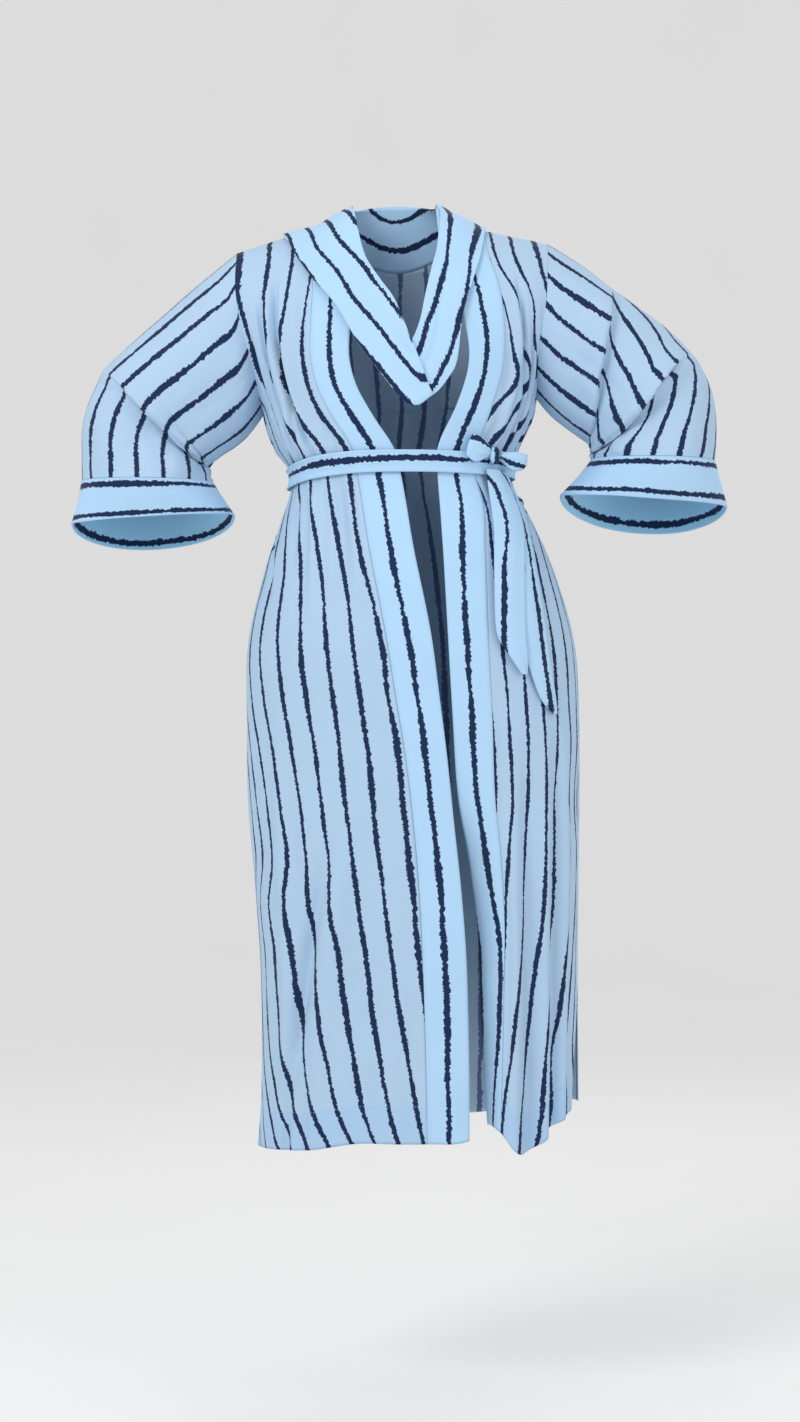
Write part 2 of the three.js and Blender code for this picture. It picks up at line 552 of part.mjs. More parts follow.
// Gives two edges that meet one shared set of normals, so that their rims are parallel.
function mitre(first, firstPlaces, second, secondPlaces) {
  firstPlaces.forEach(([i, j], n) => {
    const [k, l] = secondPlaces[n];
    const shared = first.normals[i][j].clone().add(second.normals[k][l]).normalize();
    first.normals[i][j].copy(shared);
    second.normals[k][l].copy(shared);
  });
}

// A closed wall of the given thickness with the sheet at its middle: two skins joined by rims.
function wall(surface, thickness) {
  const { points, normals, closed } = surface;
  const rows = points.length;
  const columns = points[0].length;
  const positions = [];
  for (const offset of [thickness / 2, -thickness / 2]) {
    for (let i = 0; i < rows; i += 1) {
      for (let j = 0; j < columns; j += 1) {
        const place = points[i][j].clone().addScaledVector(normals[i][j], offset);
        positions.push(place.x, place.y, place.z);
      }
    }
  }
  const outer = (i, j) => i * columns + (j % columns);
  const inner = (i, j) => rows * columns + outer(i, j);
  const faces = [];
  const quad = (a, b, c, d) => faces.push(a, b, c, a, c, d);
  const spans = closed ? columns : columns - 1;
  for (let i = 0; i < rows - 1; i += 1) {
    for (let j = 0; j < spans; j += 1) {
      quad(outer(i, j), outer(i, j + 1), outer(i + 1, j + 1), outer(i + 1, j));
      quad(inner(i, j), inner(i + 1, j), inner(i + 1, j + 1), inner(i, j + 1));
    }
  }
  for (let j = 0; j < spans; j += 1) {
    quad(outer(0, j + 1), outer(0, j), inner(0, j), inner(0, j + 1));
    quad(outer(rows - 1, j), outer(rows - 1, j + 1), inner(rows - 1, j + 1), inner(rows - 1, j));
  }
  if (!closed) {
    const end = columns - 1;
    for (let i = 0; i < rows - 1; i += 1) {
      quad(outer(i, 0), outer(i + 1, 0), inner(i + 1, 0), inner(i, 0));
      quad(outer(i + 1, end), outer(i, end), inner(i, end), inner(i + 1, end));
    }
  }
  return solid(positions, faces);
}

function solid(positions, faces) {
  const geometry = new THREE.BufferGeometry();
  geometry.setAttribute('position', new THREE.Float32BufferAttribute(positions, 3));
  geometry.setIndex(faces);
  geometry.computeVertexNormals();
  return geometry;
}

function piece(name, geometry, colour) {
  const material = new THREE.MeshStandardMaterial({ color: colour, roughness: CLOTH_ROUGHNESS });
  const mesh = new THREE.Mesh(geometry, material);
  mesh.name = name;
  return mesh;
}

// ---------------------------------------------------------------- panels

// Height of the folds at a place of a panel: each fold is a ridge with a shallow trough on both sides.
function foldRelief(folds, row, face, side, angle, point, hem) {
  let total = 0;
  for (const fold of folds) {
    if (point.z < fold.top && point.z > fold.bottom) {
      const along = (fold.top - point.z) / (fold.top - fold.bottom);
      const [a, b, c] = fold.x;
      const x = a * (1 - along) * (1 - 2 * along) + 4 * b * along * (1 - along) + c * along * (2 * along - 1);
      const shape = section(row, side, point.z);
      const foldSide = Math.sign(x - shape.centre) || 1;
      const own = angleAt(row, foldSide, x, hem);
      const swept = foldSide === side ? own : Math.PI - own;
      const radius = (shape.half + (face < 0 ? shape.front : shape.back)) / 2;
      const t = ((angle - swept) * radius) / fold.width;
      const rise = fold.fadeTop > 0 ? smooth((fold.top - point.z) / fold.fadeTop) : 1;
      const fade = fold.fadeBottom > 0 ? smooth((point.z - fold.bottom) / fold.fadeBottom) : 1;
      total += fold.depth * rise * fade * (1 - t * t * 0.5) * Math.exp(-t * t / 2);
    }
  }
  return total * waistCalm(point);
}

// Under the belt the cloth is pressed flat.
function waistCalm(point) {
  const angle = Math.atan2(-point.y, point.x - UPPER_CENTRE);
  const away = Math.abs(point.z - beltHeight(angle)) / BELT_WIDTH;
  return mix(WAIST_RELIEF, 1, smooth(away - 0.6));
}

// Angle of a front's side edge, swung forward below the top of the slit.
function frontEdgeAngle(row, side, z) {
  const shape = section(row, side, z);
  const opened = SLIT_ANGLE[side > 0 ? 'left' : 'right'];
  return shape.edgeAngle + opened * smooth((SLIT_TOP - z) / (SLIT_TOP - HEM));
}

function frontPanel(side, bands, folds) {
  const angles = [];
  const points = ROWS.map((row) => {
    const hem = HEM_FRONT;
    let z = rowHeight(row, side * 120, hem);
    let seam = 0;
    for (let pass = 0; pass < 3; pass += 1) {
      seam = read(bands, 'z', 'seam', z) + (side * SEAM) / 2;
      z = rowHeight(row, seam, hem);
    }
    const inner = angleAt(row, side, seam, hem);
    const edge = frontEdgeAngle(row, side, rowHeight(row, side * 190, hem));
    const line = [];
    const used = [];
    for (let j = 0; j <= FRONT_COLUMNS; j += 1) {
      const share = side > 0 ? j / FRONT_COLUMNS : 1 - j / FRONT_COLUMNS;
      const angle = mix(edge, inner, share);
      used.push(angle);
      const point = skinPoint(row, -1, side, angle, hem);
      point.y -= SEAM / 2;
      line.push(point);
    }
    angles.push(used);
    return line;
  });
  const base = sheet(points);
  return raise(base, (i, j) => {
    const fromSide = side > 0 ? j : FRONT_COLUMNS - j;
    const calm = smooth(fromSide / 2) * smooth((FRONT_COLUMNS - fromSide) / 1.5);
    const point = base.points[i][j];
    return calm * foldRelief(folds, ROWS[i], -1, side, angles[i][j], point, HEM_FRONT);
  });
}

function backPanel() {
  const columns = 2 * SHOULDER_COLUMNS + NECK_COLUMNS;
  const angles = [];
  const points = ROWS.map((row, i) => {
    const line = [];
    const used = [];
    for (let j = 0; j <= columns; j += 1) {
      const { turn, x } = backTop(j);
      const side = j < columns / 2 ? -1 : 1;
      const z = rowHeight(row, side * 190, HEM_BACK);
      const edge = section(row, side, z).edgeAngle
        + SLIT_BACK_ANGLE * smooth((SLIT_TOP - z) / (SLIT_TOP - HEM));
      const even = mix(edge, Math.PI / 2, side < 0 ? (2 * j) / columns : 2 - (2 * j) / columns);
      const started = { turn: turnBelow(turn, row), share: row.share };
      const top = angleAt(started, side, x, HEM_BACK);
      const angle = row.share > 0 ? even : mix(top, even, smooth(upperShare(row)));
      const point = skinPoint(started, 1, side, angle, HEM_BACK);
      if (j === 0 || j === columns) {
        point.copy(skinPoint(row, 1, side, edge, HEM_BACK));
      }
      point.y += SEAM / 2;
      used.push(angle);
      line.push(point);
    }
    angles.push(used);
    return line;
  });
  const base = sheet(points);
  return raise(base, (i, j) => {
    const side = j < columns / 2 ? -1 : 1;
    const calm = smooth(j / 2) * smooth((columns - j) / 2) * smooth(i / 3);
    const point = base.points[i][j];
    return calm * foldRelief(FOLDS_BACK, ROWS[i], 1, side, angles[i][j], point, HEM_BACK);
  });
}

function upperShare(row) {
  return (2 / Math.PI) * Math.asin(Math.min(row.turn, 1));
}

// The turn of a row in a column that starts below the shoulder line.
function turnBelow(top, row) {
  const share = mix(upperShare({ turn: top }), 1, upperShare(row));
  return Math.sin((Math.PI / 2) * share);
}

// The top edge of the back at a column: along the shoulder, then round the neck seam.
function backTop(j) {
  const neckEnd = SHOULDER_COLUMNS + NECK_COLUMNS;
  const shoulderRight = ARMHOLE.right[0].x;
  const shoulderLeft = ARMHOLE.left[0].x;
  const neckRight = NECK_SEAM.centre - NECK_SEAM.halfWidth;
  const neckLeft = NECK_SEAM.centre + NECK_SEAM.halfWidth;
  if (j <= SHOULDER_COLUMNS) {
    return { x: mix(shoulderRight, neckRight, j / SHOULDER_COLUMNS), turn: 0 };
  }
  if (j >= neckEnd) {
    return { x: mix(neckLeft, shoulderLeft, (j - neckEnd) / SHOULDER_COLUMNS), turn: 0 };
  }
  const around = (Math.PI * (j - SHOULDER_COLUMNS)) / NECK_COLUMNS;
  const x = NECK_SEAM.centre - NECK_SEAM.halfWidth * Math.cos(around);
  return { x, turn: neckTurn(x, NECK_SEAM.depth * Math.sin(around)) };
}

// The turn over the shoulder at which the back of the skin lies at a given depth.
function neckTurn(x, y) {
  let low = 0;
  let high = 1;
  for (let pass = 0; pass < 30; pass += 1) {
    const middle = (low + high) / 2;
    if (domePoint(x, middle).y < y) {
      low = middle;
    } else {
      high = middle;
    }
  }
  return (low + high) / 2;
}

// ---------------------------------------------------------------- bands

// Height by which the bands stand up beside the neck: most at their edge, none at their seam.
function neckStand(x, z) {
  const seam = NECK_SEAM.halfWidth + Math.sign(x) * NECK_SEAM.centre;
  const toEdge = clamp01((seam - Math.abs(x)) / (seam - NECK_EDGE.halfWidth));
  return NECK_STAND * toEdge * (1 - smooth(-z / NECK_STAND_FADE));
}

function frontBand(side, table, hem) {
  const points = ROWS.map((row) => {
    const line = [];
    for (let j = 0; j <= BAND_COLUMNS; j += 1) {
      const toEdge = side > 0 ? j / BAND_COLUMNS : 1 - j / BAND_COLUMNS;
      let z = rowHeight(row, side * 60, hem);
      let x = 0;
      for (let pass = 0; pass < 3; pass += 1) {
        const seam = read(table, 'z', 'seam', z) - (side * SEAM) / 2;
        x = mix(seam, read(table, 'z', 'edge', z), toEdge);
        z = rowHeight(row, x, hem);
      }
      const ownSide = row.share > 0 || x > UPPER_CENTRE ? 1 : -1;
      const point = skinPoint(row, -1, ownSide, angleAt(row, ownSide, x, hem), hem);
      point.y += toEdge ** SWING_POWER * read(table, 'z', 'swing', z) - SEAM / 2;
      point.z += neckStand(x, point.z);
      line.push(point);
    }
    return line;
  });
  return sheet(points);
}

// The neck band runs from the wearer's right shoulder round the back of the neck to the left one.
function neckBand() {
  const points = [];
  for (let i = 0; i <= BAND_COLUMNS; i += 1) {
    const toSeam = i / BAND_COLUMNS;
    const line = [];
    for (let j = 0; j <= NECK_COLUMNS; j += 1) {
      const around = (Math.PI * j) / NECK_COLUMNS;
      const { x, turn } = backTop(j + SHOULDER_COLUMNS);
      const seam = domePoint(x, turn || 1e-6);
      const edgeX = -NECK_EDGE.halfWidth * Math.cos(around);
      const height = shoulderHeight(edgeX) + NECK_STAND + NECK_STAND_BACK * Math.sin(around) ** 2 * 0.5;
      const edge = new THREE.Vector3(edgeX, NECK_EDGE.depth * Math.sin(around), height);
      const point = edge.lerp(seam, toSeam);
      point.y += SEAM / 2;
      line.push(point);
    }
    points.push(line);
  }
  // The seam row stands off the back panel's top edge by the seam's gap.
  const last = points.length - 1;
  points[last] = points[last].map((point, j) => {
    const inward = points[last - 1][j].clone().sub(point).normalize();
    return point.addScaledVector(inward, SEAM);
  });
  return sheet(points);
}

// ---------------------------------------------------------------- sleeves

// The ring of places round an armhole, starting at the shoulder: [panel, row] pairs.
function armholePlaces(side) {
  const places = [];
  const around = 2 * UPPER_ROWS;
  for (let j = 0; j < around; j += 1) {
    const inFirstHalf = j <= UPPER_ROWS;
    places.push({ row: inFirstHalf ? j : around - j, front: side > 0 ? inFirstHalf : !inFirstHalf });
  }
  return places;
}

// A ring of a sleeve: an ellipse between its outer and inner edges, whose back half hangs lower.
function sleeveRing(ring, side) {
  const around = 2 * UPPER_ROWS;
  const line = [];
  for (let j = 0; j < around; j += 1) {
    const angle = (2 * Math.PI * j) / around;
    const frontness = side * Math.sin(angle);
    const along = (1 + Math.cos(angle)) / 2;
    const depth = frontness > 0 ? ring.front : ring.back;
    const swell = signedPower(frontness, 2 / SLEEVE_RING_POWER);
    line.push(new THREE.Vector3(
      mix(ring.inX, ring.outX, along),
      -depth * swell,
      mix(ring.inZ, ring.outZ, along) + ring.tilt * Math.min(swell, 0),
    ));
  }
  return line;
}

function sleeveRelief(folds, share, angle) {
  let total = 0;
  for (const fold of folds) {
    const along = (share - fold.from) / (fold.to - fold.from);
    if (along > 0 && along < 1) {
      const t = (angle - mix(fold.start, fold.end, along)) / fold.width;
      total += fold.depth * Math.sin(Math.PI * along) * Math.exp(-t * t);
    }
  }
  return total;
}

function sleeve(side, rings, folds, front, back) {
  const around = 2 * UPPER_ROWS;
  const frontEdge = side > 0 ? 0 : FRONT_COLUMNS;
  const backEdge = side > 0 ? 2 * SHOULDER_COLUMNS + NECK_COLUMNS : 0;
  const places = armholePlaces(side);
  const armhole = places.map(({ row, front: onFront }) => {
    const point = onFront ? front.points[row][frontEdge].clone() : back.points[row][backEdge].clone();
    if (row === 0 || row === UPPER_ROWS) point.y = 0;
    return point;
  });
  const points = rings.map((ring) => sleeveRing(ring, side));
  points[0] = armhole.map((point, j) => {
    const outward = points[1][j].clone().sub(point).normalize();
    return point.clone().addScaledVector(outward, SEAM);
  });
  const base = sheet(points, true);
  const last = rings.length - 1;
  const surface = raise(base, (i, j) => {
    const turned = (2 * Math.PI * j) / around;
    const signed = turned > Math.PI ? turned - 2 * Math.PI : turned;
    return i === 0 ? 0 : sleeveRelief(folds, i / last, side * signed);
  });
  places.forEach(({ row, front: onFront }, j) => {
    if (onFront) {
      mitre(surface, [[0, j]], front, [[row, frontEdge]]);
    } else {
      mitre(surface, [[0, j]], back, [[row, backEdge]]);
    }
  });
  for (const row of [0, UPPER_ROWS]) {
    const shared = surface.normals[0][row];
    front.normals[row][frontEdge].copy(shared);
    back.normals[row][backEdge].copy(shared);
  }
  return surface;
}

function cuff(side, rings, sleeveSurface) {
  const points = rings.map((ring) => sleeveRing(ring, side));
  const seam = sleeveSurface.points[sleeveSurface.points.length - 1];
  points[0] = seam.map((point, j) => {
    const outward = points[1][j].clone().sub(point).normalize();
    return point.clone().addScaledVector(outward, SEAM);
  });
  const surface = sheet(points, true);
  const last = sleeveSurface.points.length - 1;
  const ringPlaces = points[0].map((point, j) => [0, j]);
  const seamPlaces = points[0].map((point, j) => [last, j]);
  mitre(surface, ringPlaces, sleeveSurface, seamPlaces);
  return surface;
}

// ---------------------------------------------------------------- collar, belt and bow

function drapeCollar() {
  const points = [];
  for (let i = 0; i <= DRAPE_COLUMNS; i += 1) {
    const toOuter = i / DRAPE_COLUMNS;
    const line = [];
    for (let j = 0; j < DRAPE_STEPS; j += 1) {
      const s = station(DRAPE, j / DRAPE_STEPS, true);
      const point = domePoint(mix(s.inX, s.outX, toOuter), mix(s.inTurn, s.outTurn, toOuter));
      const turn = mix(s.inTurn, s.outTurn, toOuter);
      point.z += neckStand(point.x, point.z) * clamp01(1 - turn / 0.3);
      point.z += s.inRise * (1 - toOuter) ** RISE_POWER;
      line.push(point);
    }
    points.push(line);
  }
  const base = sheet(points, true);
  return raise(base, (i, j) => {
    const s = station(DRAPE, j / DRAPE_STEPS, true);
    return mix(s.inLift, s.outLift, i / DRAPE_COLUMNS);
  });
}

// Height of the belt's middle at an angle round the waist, 0 at +X, a right angle in front.
function beltHeight(angle) {
  const side = mix(BELT_HEIGHT.left, BELT_HEIGHT.right, (1 - Math.cos(angle)) / 2);
  const middle = Math.sin(angle) > 0 ? BELT_HEIGHT.front : BELT_HEIGHT.back;
  return mix(side, middle, Math.abs(Math.sin(angle)) ** RISE_POWER);
}

function belt() {
  const points = [];
  for (let i = 0; i <= BELT_ROWS; i += 1) {
    const line = [];
    for (let j = 0; j < BELT_STEPS; j += 1) {
      const angle = (2 * Math.PI * j) / BELT_STEPS;
      const z = beltHeight(angle) + BELT_WIDTH * (0.5 - i / BELT_ROWS);
      const right = read(BODY, 'z', 'right', z);
      const left = read(BODY, 'z', 'left', z);
      const depth = read(BODY, 'z', Math.sin(angle) > 0 ? 'front' : 'back', z);
      line.push(new THREE.Vector3(
        (left + right) / 2 + ((left - right) / 2) * signedPower(Math.cos(angle), 2 / SECTION_POWER),
        -depth * signedPower(Math.sin(angle), 2 / SECTION_POWER),
        z,
      ));
    }
    points.push(line);
  }
  return raise(sheet(points, true), () => BELT_LIFT);
}

function beltTail(table) {
  const rowCount = TAIL_STEPS * (table.length - 1);
  const points = [];
  const lifts = [];
  for (let i = 0; i <= rowCount; i += 1) {
    const s = station(table, i / rowCount);
    const line = [];
    for (let j = 0; j <= TAIL_COLUMNS; j += 1) {
      const t = j / TAIL_COLUMNS;
      line.push(frontPoint(mix(s.rightX, s.leftX, t), mix(s.rightZ, s.leftZ, t)));
    }
    points.push(line);
    lifts.push(s.lift);
  }
  return raise(sheet(points), (i) => lifts[i]);
}

// The knot is a rounded lump: rings of a superellipsoid between two poles, left and right.
function knot() {
  const centre = new THREE.Vector3(KNOT.x, KNOT.y, KNOT.z);
  const positions = [];
  for (let i = 1; i < KNOT_RINGS; i += 1) {
    const polar = (Math.PI * i) / KNOT_RINGS;
    for (let j = 0; j < KNOT_AROUND; j += 1) {
      const angle = (2 * Math.PI * j) / KNOT_AROUND;
      const out = KNOT.halfWidth * signedPower(Math.cos(polar), KNOT_ROUND);
      const girth = Math.sin(polar) ** KNOT_ROUND;
      positions.push(
        centre.x + out,
        centre.y + KNOT.slope * out + KNOT.halfDepth * girth * signedPower(Math.sin(angle), KNOT_GIRTH_ROUND),
        centre.z + KNOT.halfHeight * girth * signedPower(Math.cos(angle), KNOT_GIRTH_ROUND),
      );
    }
  }
  const first = positions.length / 3;
  for (const end of [KNOT.halfWidth, -KNOT.halfWidth]) {
    positions.push(centre.x + end, centre.y + KNOT.slope * end, centre.z);
  }
  const faces = [];
  const at = (i, j) => (i - 1) * KNOT_AROUND + (j % KNOT_AROUND);
  for (let j = 0; j < KNOT_AROUND; j += 1) {
    faces.push(first, at(1, j + 1), at(1, j));
    faces.push(first + 1, at(KNOT_RINGS - 1, j), at(KNOT_RINGS - 1, j + 1));
    for (let i = 1; i < KNOT_RINGS - 1; i += 1) {
      faces.push(at(i, j), at(i, j + 1), at(i + 1, j + 1));
      faces.push(at(i, j), at(i + 1, j + 1), at(i + 1, j));
    }
  }
  return solid(positions, faces);
}

// A bow loop: a strip that runs out behind, turns round at its end and comes back in front.
function bowLoop(loop) {
  const reach = new THREE.Vector2(loop.toX - loop.x, loop.toZ - loop.z);
  const length = reach.length();
  reach.normalize();
  const radius = loop.spread / 2;
  const straight = length - radius;
  const total = 2 * straight + Math.PI * radius;
  const points = [];
  for (let i = 0; i <= LOOP_ROWS; i += 1) {
    const across = loop.width * (i / LOOP_ROWS - 0.5);
    const line = [];
    for (let j = 0; j <= LOOP_COLUMNS; j += 1) {
      const gone = (total * j) / LOOP_COLUMNS;
      let along = gone;
      let forward = -radius;
      if (gone > total - straight) {
        along = total - gone;
        forward = radius;
      } else if (gone > straight) {
        const angle = (gone - straight) / radius;
        along = straight + radius * Math.sin(angle);
        forward = -radius * Math.cos(angle);
      }
      const narrowing = mix(LOOP_PINCH.share, 1, smooth(along / (length * LOOP_PINCH.reach)));
      const x = loop.x + reach.x * along - reach.y * across * narrowing;
      const z = loop.z + reach.y * along + reach.x * across * narrowing;
      line.push(new THREE.Vector3(x, mix(loop.y, loop.toY, along / length) - forward, z));
    }
    points.push(line);
  }
  return sheet(points);
}

// Squares up the rims where panels, bands and neck band meet.
function joinPanels() {
  const backColumns = 2 * SHOULDER_COLUMNS + NECK_COLUMNS;
  for (let i = 0; i < ROWS.length; i += 1) {
    mitre(frontRight, [[i, 0]], bandRight, [[i, BAND_COLUMNS]]);
    mitre(frontLeft, [[i, FRONT_COLUMNS]], bandLeft, [[i, 0]]);
    if (i > UPPER_ROWS && ROWS[i].share < 0.7) {
      mitre(frontRight, [[i, FRONT_COLUMNS]], back, [[i, 0]]);
      mitre(frontLeft, [[i, 0]], back, [[i, backColumns]]);
    }
  }
  for (let j = 0; j <= FRONT_COLUMNS; j += 1) {
    frontRight.normals[0][j].setY(0).normalize();
    frontLeft.normals[0][j].setY(0).normalize();
  }
  for (let j = 0; j <= SHOULDER_COLUMNS; j += 1) {
    back.normals[0][j].setY(0).normalize();
    back.normals[0][backColumns - j].setY(0).normalize();
  }
  for (let j = 1; j < NECK_COLUMNS; j += 1) {
    mitre(neck, [[BAND_COLUMNS, j]], back, [[0, SHOULDER_COLUMNS + j]]);
  }
  for (let j = 0; j <= BAND_COLUMNS; j += 1) {
    mitre(neck, [[j, 0]], bandRight, [[0, j]]);
    mitre(neck, [[BAND_COLUMNS - j, NECK_COLUMNS]], bandLeft, [[0, j]]);
  }
}

// ---------------------------------------------------------------- assembly

const frontRight = frontPanel(-1, BAND_RIGHT, FOLDS_FRONT_RIGHT);
const frontLeft = frontPanel(1, BAND_LEFT, FOLDS_FRONT_LEFT);
const back = backPanel();
const bandRight = frontBand(-1, BAND_RIGHT, HEM_FRONT);
const bandLeft = frontBand(1, BAND_LEFT, HEM_FRONT);
const neck = neckBand();
joinPanels();
const sleeveRight = sleeve(-1, SLEEVE_RIGHT, SLEEVE_FOLDS_RIGHT, frontRight, back);
const sleeveLeft = sleeve(1, SLEEVE_LEFT, SLEEVE_FOLDS_LEFT, frontLeft, back);
const cuffRight = cuff(-1, CUFF_RIGHT, sleeveRight);
const cuffLeft = cuff(1, CUFF_LEFT, sleeveLeft);

const kimono = new THREE.Group();
kimono.add(
  piece('back', wall(back, PANEL_WALL), CLOTH_COLOUR),
  piece('front_right', wall(frontRight, PANEL_WALL), CLOTH_COLOUR),
  piece('front_left', wall(frontLeft, PANEL_WALL), CLOTH_COLOUR),
  piece('band_right', wall(bandRight, BAND_WALL), DOUBLED_COLOUR),
  piece('band_left', wall(bandLeft, BAND_WALL), DOUBLED_COLOUR),
  piece('neck_band', wall(neck, BAND_WALL), DOUBLED_COLOUR),
  piece('sleeve_right', wall(sleeveRight, PANEL_WALL), CLOTH_COLOUR),
  piece('sleeve_left', wall(sleeveLeft, PANEL_WALL), CLOTH_COLOUR),
  piece('cuff_right', wall(cuffRight, BAND_WALL), DOUBLED_COLOUR),
  piece('cuff_left', wall(cuffLeft, BAND_WALL), DOUBLED_COLOUR),
  piece('drape_collar', wall(drapeCollar(), DRAPE_WALL), DOUBLED_COLOUR),
  piece('belt', wall(belt(), BELT_WALL), DOUBLED_COLOUR),
  piece('bow_knot', knot(), DOUBLED_COLOUR),
  piece('bow_loop_inner', wall(bowLoop(LOOP_INNER), BELT_WALL), DOUBLED_COLOUR),
  piece('bow_loop_outer', wall(bowLoop(LOOP_OUTER), BELT_WALL), DOUBLED_COLOUR),
  piece('belt_tail_front', wall(beltTail(TAIL_FRONT), BELT_WALL), DOUBLED_COLOUR),
  piece('belt_tail_side', wall(beltTail(TAIL_SIDE), BELT_WALL), DOUBLED_COLOUR),
);

export default kimono;
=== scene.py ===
"""Maxi kimono: an open-front robe of light striped crepe, worn, with its own tied belt.

Lengths are millimetres until a mesh is made, then metres. +Z is up, the front faces -Y and +X is the
wearer's left. The body is one smooth skin, a dome over the shoulders that runs down into superellipse
sections, and every panel, band, collar and tail is a stretch of it, moved out by folds and lifts.
"""

import math

import bpy
import numpy as np
from bpy.props import FloatProperty, FloatVectorProperty, PointerProperty
from bpy.types import Operator, Panel, PropertyGroup
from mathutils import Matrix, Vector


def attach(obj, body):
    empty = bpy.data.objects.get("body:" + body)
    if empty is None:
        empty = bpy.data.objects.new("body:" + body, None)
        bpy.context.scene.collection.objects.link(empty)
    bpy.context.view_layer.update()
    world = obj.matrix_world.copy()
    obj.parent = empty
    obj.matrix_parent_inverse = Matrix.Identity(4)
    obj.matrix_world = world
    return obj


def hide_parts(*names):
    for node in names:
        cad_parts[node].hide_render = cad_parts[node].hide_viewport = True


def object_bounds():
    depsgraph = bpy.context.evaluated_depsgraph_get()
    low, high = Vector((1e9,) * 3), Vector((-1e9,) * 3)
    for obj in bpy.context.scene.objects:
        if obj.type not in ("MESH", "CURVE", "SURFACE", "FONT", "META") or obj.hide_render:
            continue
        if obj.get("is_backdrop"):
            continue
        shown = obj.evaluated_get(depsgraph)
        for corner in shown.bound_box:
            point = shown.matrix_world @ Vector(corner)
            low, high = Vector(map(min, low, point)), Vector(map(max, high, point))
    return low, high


bl_info = {
    "name": "Maxi Kimono",
    "version": (1, 0, 0),
    "blender": (4, 5, 0),
    "location": "View3D > Sidebar > Kimono",
    "description": "Builds a worn maxi kimono with folds, stripes, stitching and a tied belt",
    "category": "Object",
}

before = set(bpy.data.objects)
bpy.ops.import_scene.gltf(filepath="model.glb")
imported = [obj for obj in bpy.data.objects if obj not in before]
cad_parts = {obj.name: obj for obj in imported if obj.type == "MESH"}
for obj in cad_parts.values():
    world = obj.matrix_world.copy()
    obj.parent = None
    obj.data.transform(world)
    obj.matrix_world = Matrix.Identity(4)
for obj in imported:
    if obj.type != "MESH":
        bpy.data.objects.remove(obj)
CAD_BOX = [list(corner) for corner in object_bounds()]
MM = 0.001
HALF_PI = math.pi / 2


# ---------------------------------------------------------------- small tools

def table(names, *rows):
    """A short table with named columns, as a dictionary of arrays."""
    return dict(zip(names.split(), np.array(rows, float).T))


def rows_of(rows):
    """The rows of a table, each a dictionary of its numbers."""
    return [dict(zip(rows, values)) for values in zip(*rows.values())]


def mix(a, b, t):
    return a + (b - a) * t


def smooth(t):
    """Rises from 0 to 1 with level ends: 3t^2 - 2t^3, held outside 0 to 1."""
    t = np.clip(t, 0.0, 1.0)
    return t * t * (3 - 2 * t)


def signed_power(value, power):
    return np.sign(value) * np.abs(value) ** power


def read(rows, key, column, at):
    """A column of a table at a key: a cubic through the rows, whose slopes are the mean of the chords."""
    keys, values = rows[key], rows[column]
    if keys[0] > keys[-1]:
        keys, values = keys[::-1], values[::-1]
    chord = np.diff(values) / np.diff(keys)
    slope = np.concatenate(([chord[0]], (chord[:-1] + chord[1:]) / 2, [chord[-1]]))
    at = np.clip(at, keys[0], keys[-1])
    k = np.clip(np.searchsorted(keys, at) - 1, 0, len(keys) - 2)
    span = keys[k + 1] - keys[k]
    t = (at - keys[k]) / span
    return (values[k] * (2 * t**3 - 3 * t**2 + 1) + slope[k] * span * (t**3 - 2 * t**2 + t)
            + values[k + 1] * (3 * t**2 - 2 * t**3) + slope[k + 1] * span * (t**3 - t**2))


def through(stations, share, closed=False):
    """Catmull-Rom through evenly spaced stations, an array whose first axis is the station."""
    count = len(stations) if closed else len(stations) - 1
    at = np.asarray(share) * count
    k = np.clip(np.floor(at).astype(int), 0, count - 1)
    t = (at - k).reshape((-1,) + (1,) * (stations.ndim - 1))
    if closed:
        a, b, c, d = (stations[(k + i) % len(stations)] for i in (-1, 0, 1, 2))
    else:
        a, b, c, d = (stations[np.clip(k + i, 0, count)] for i in (-1, 0, 1, 2))
    return b + 0.5 * t * (c - a + t * (2 * a - 5 * b + 4 * c - d + t * (3 * (b - c) + d - a)))


def round_angles(count, closing=0):
    """Even angles round a ring, with the first ones again at the end where a flat map closes."""
    return 2 * math.pi * np.arange(count + closing) / count


def ripple(x, y, seed):
    """Smooth value noise from -1 to 1: random heights on a unit lattice, eased between its corners."""
    heights = np.random.default_rng(seed).uniform(-1, 1, (64, 64))
    x, y = np.broadcast_arrays(np.asarray(x, float), np.asarray(y, float))
    i, j = np.floor(x).astype(int), np.floor(y).astype(int)
    u, v = smooth(x - i), smooth(y - j)
    corner = lambda a, b: heights[(i + a) % 64, (j + b) % 64]
    return mix(mix(corner(0, 0), corner(1, 0), u), mix(corner(0, 1), corner(1, 1), u), v)


# ---------------------------------------------------------------- the garment's sizes

SEAM = 0.3
HEM = -1200.0
# Powers of the sections, of the drop over the shoulder, and of the swing of a band's edge.
POWER = 2.3
DOME_POWER = 2.1
SWING_POWER = 1.4
UPPER_CENTRE = 7.5
CHEST_DEPTH = 133.0
BLADE_DEPTH = 108.0
ARMHOLE_SHARE = 0.68
NECK_STAND = 16.0
NECK_STAND_BACK = 18.0
NECK_CENTRE, NECK_HALF, NECK_DEPTH = 6.0, 106.0, 78.0
EDGE_HALF, EDGE_DEPTH = 54.0, 52.0
BELT_WIDTH = 29.0
BELT_FRONT, BELT_LEFT, BELT_BACK, BELT_RIGHT = -310.0, -313.0, -318.0, -328.0
BELT_LIFT = 5.5
# Share of a fold's depth that is left under the belt.
WAIST_RELIEF = 0.3
SLIT_TOP = -905.0
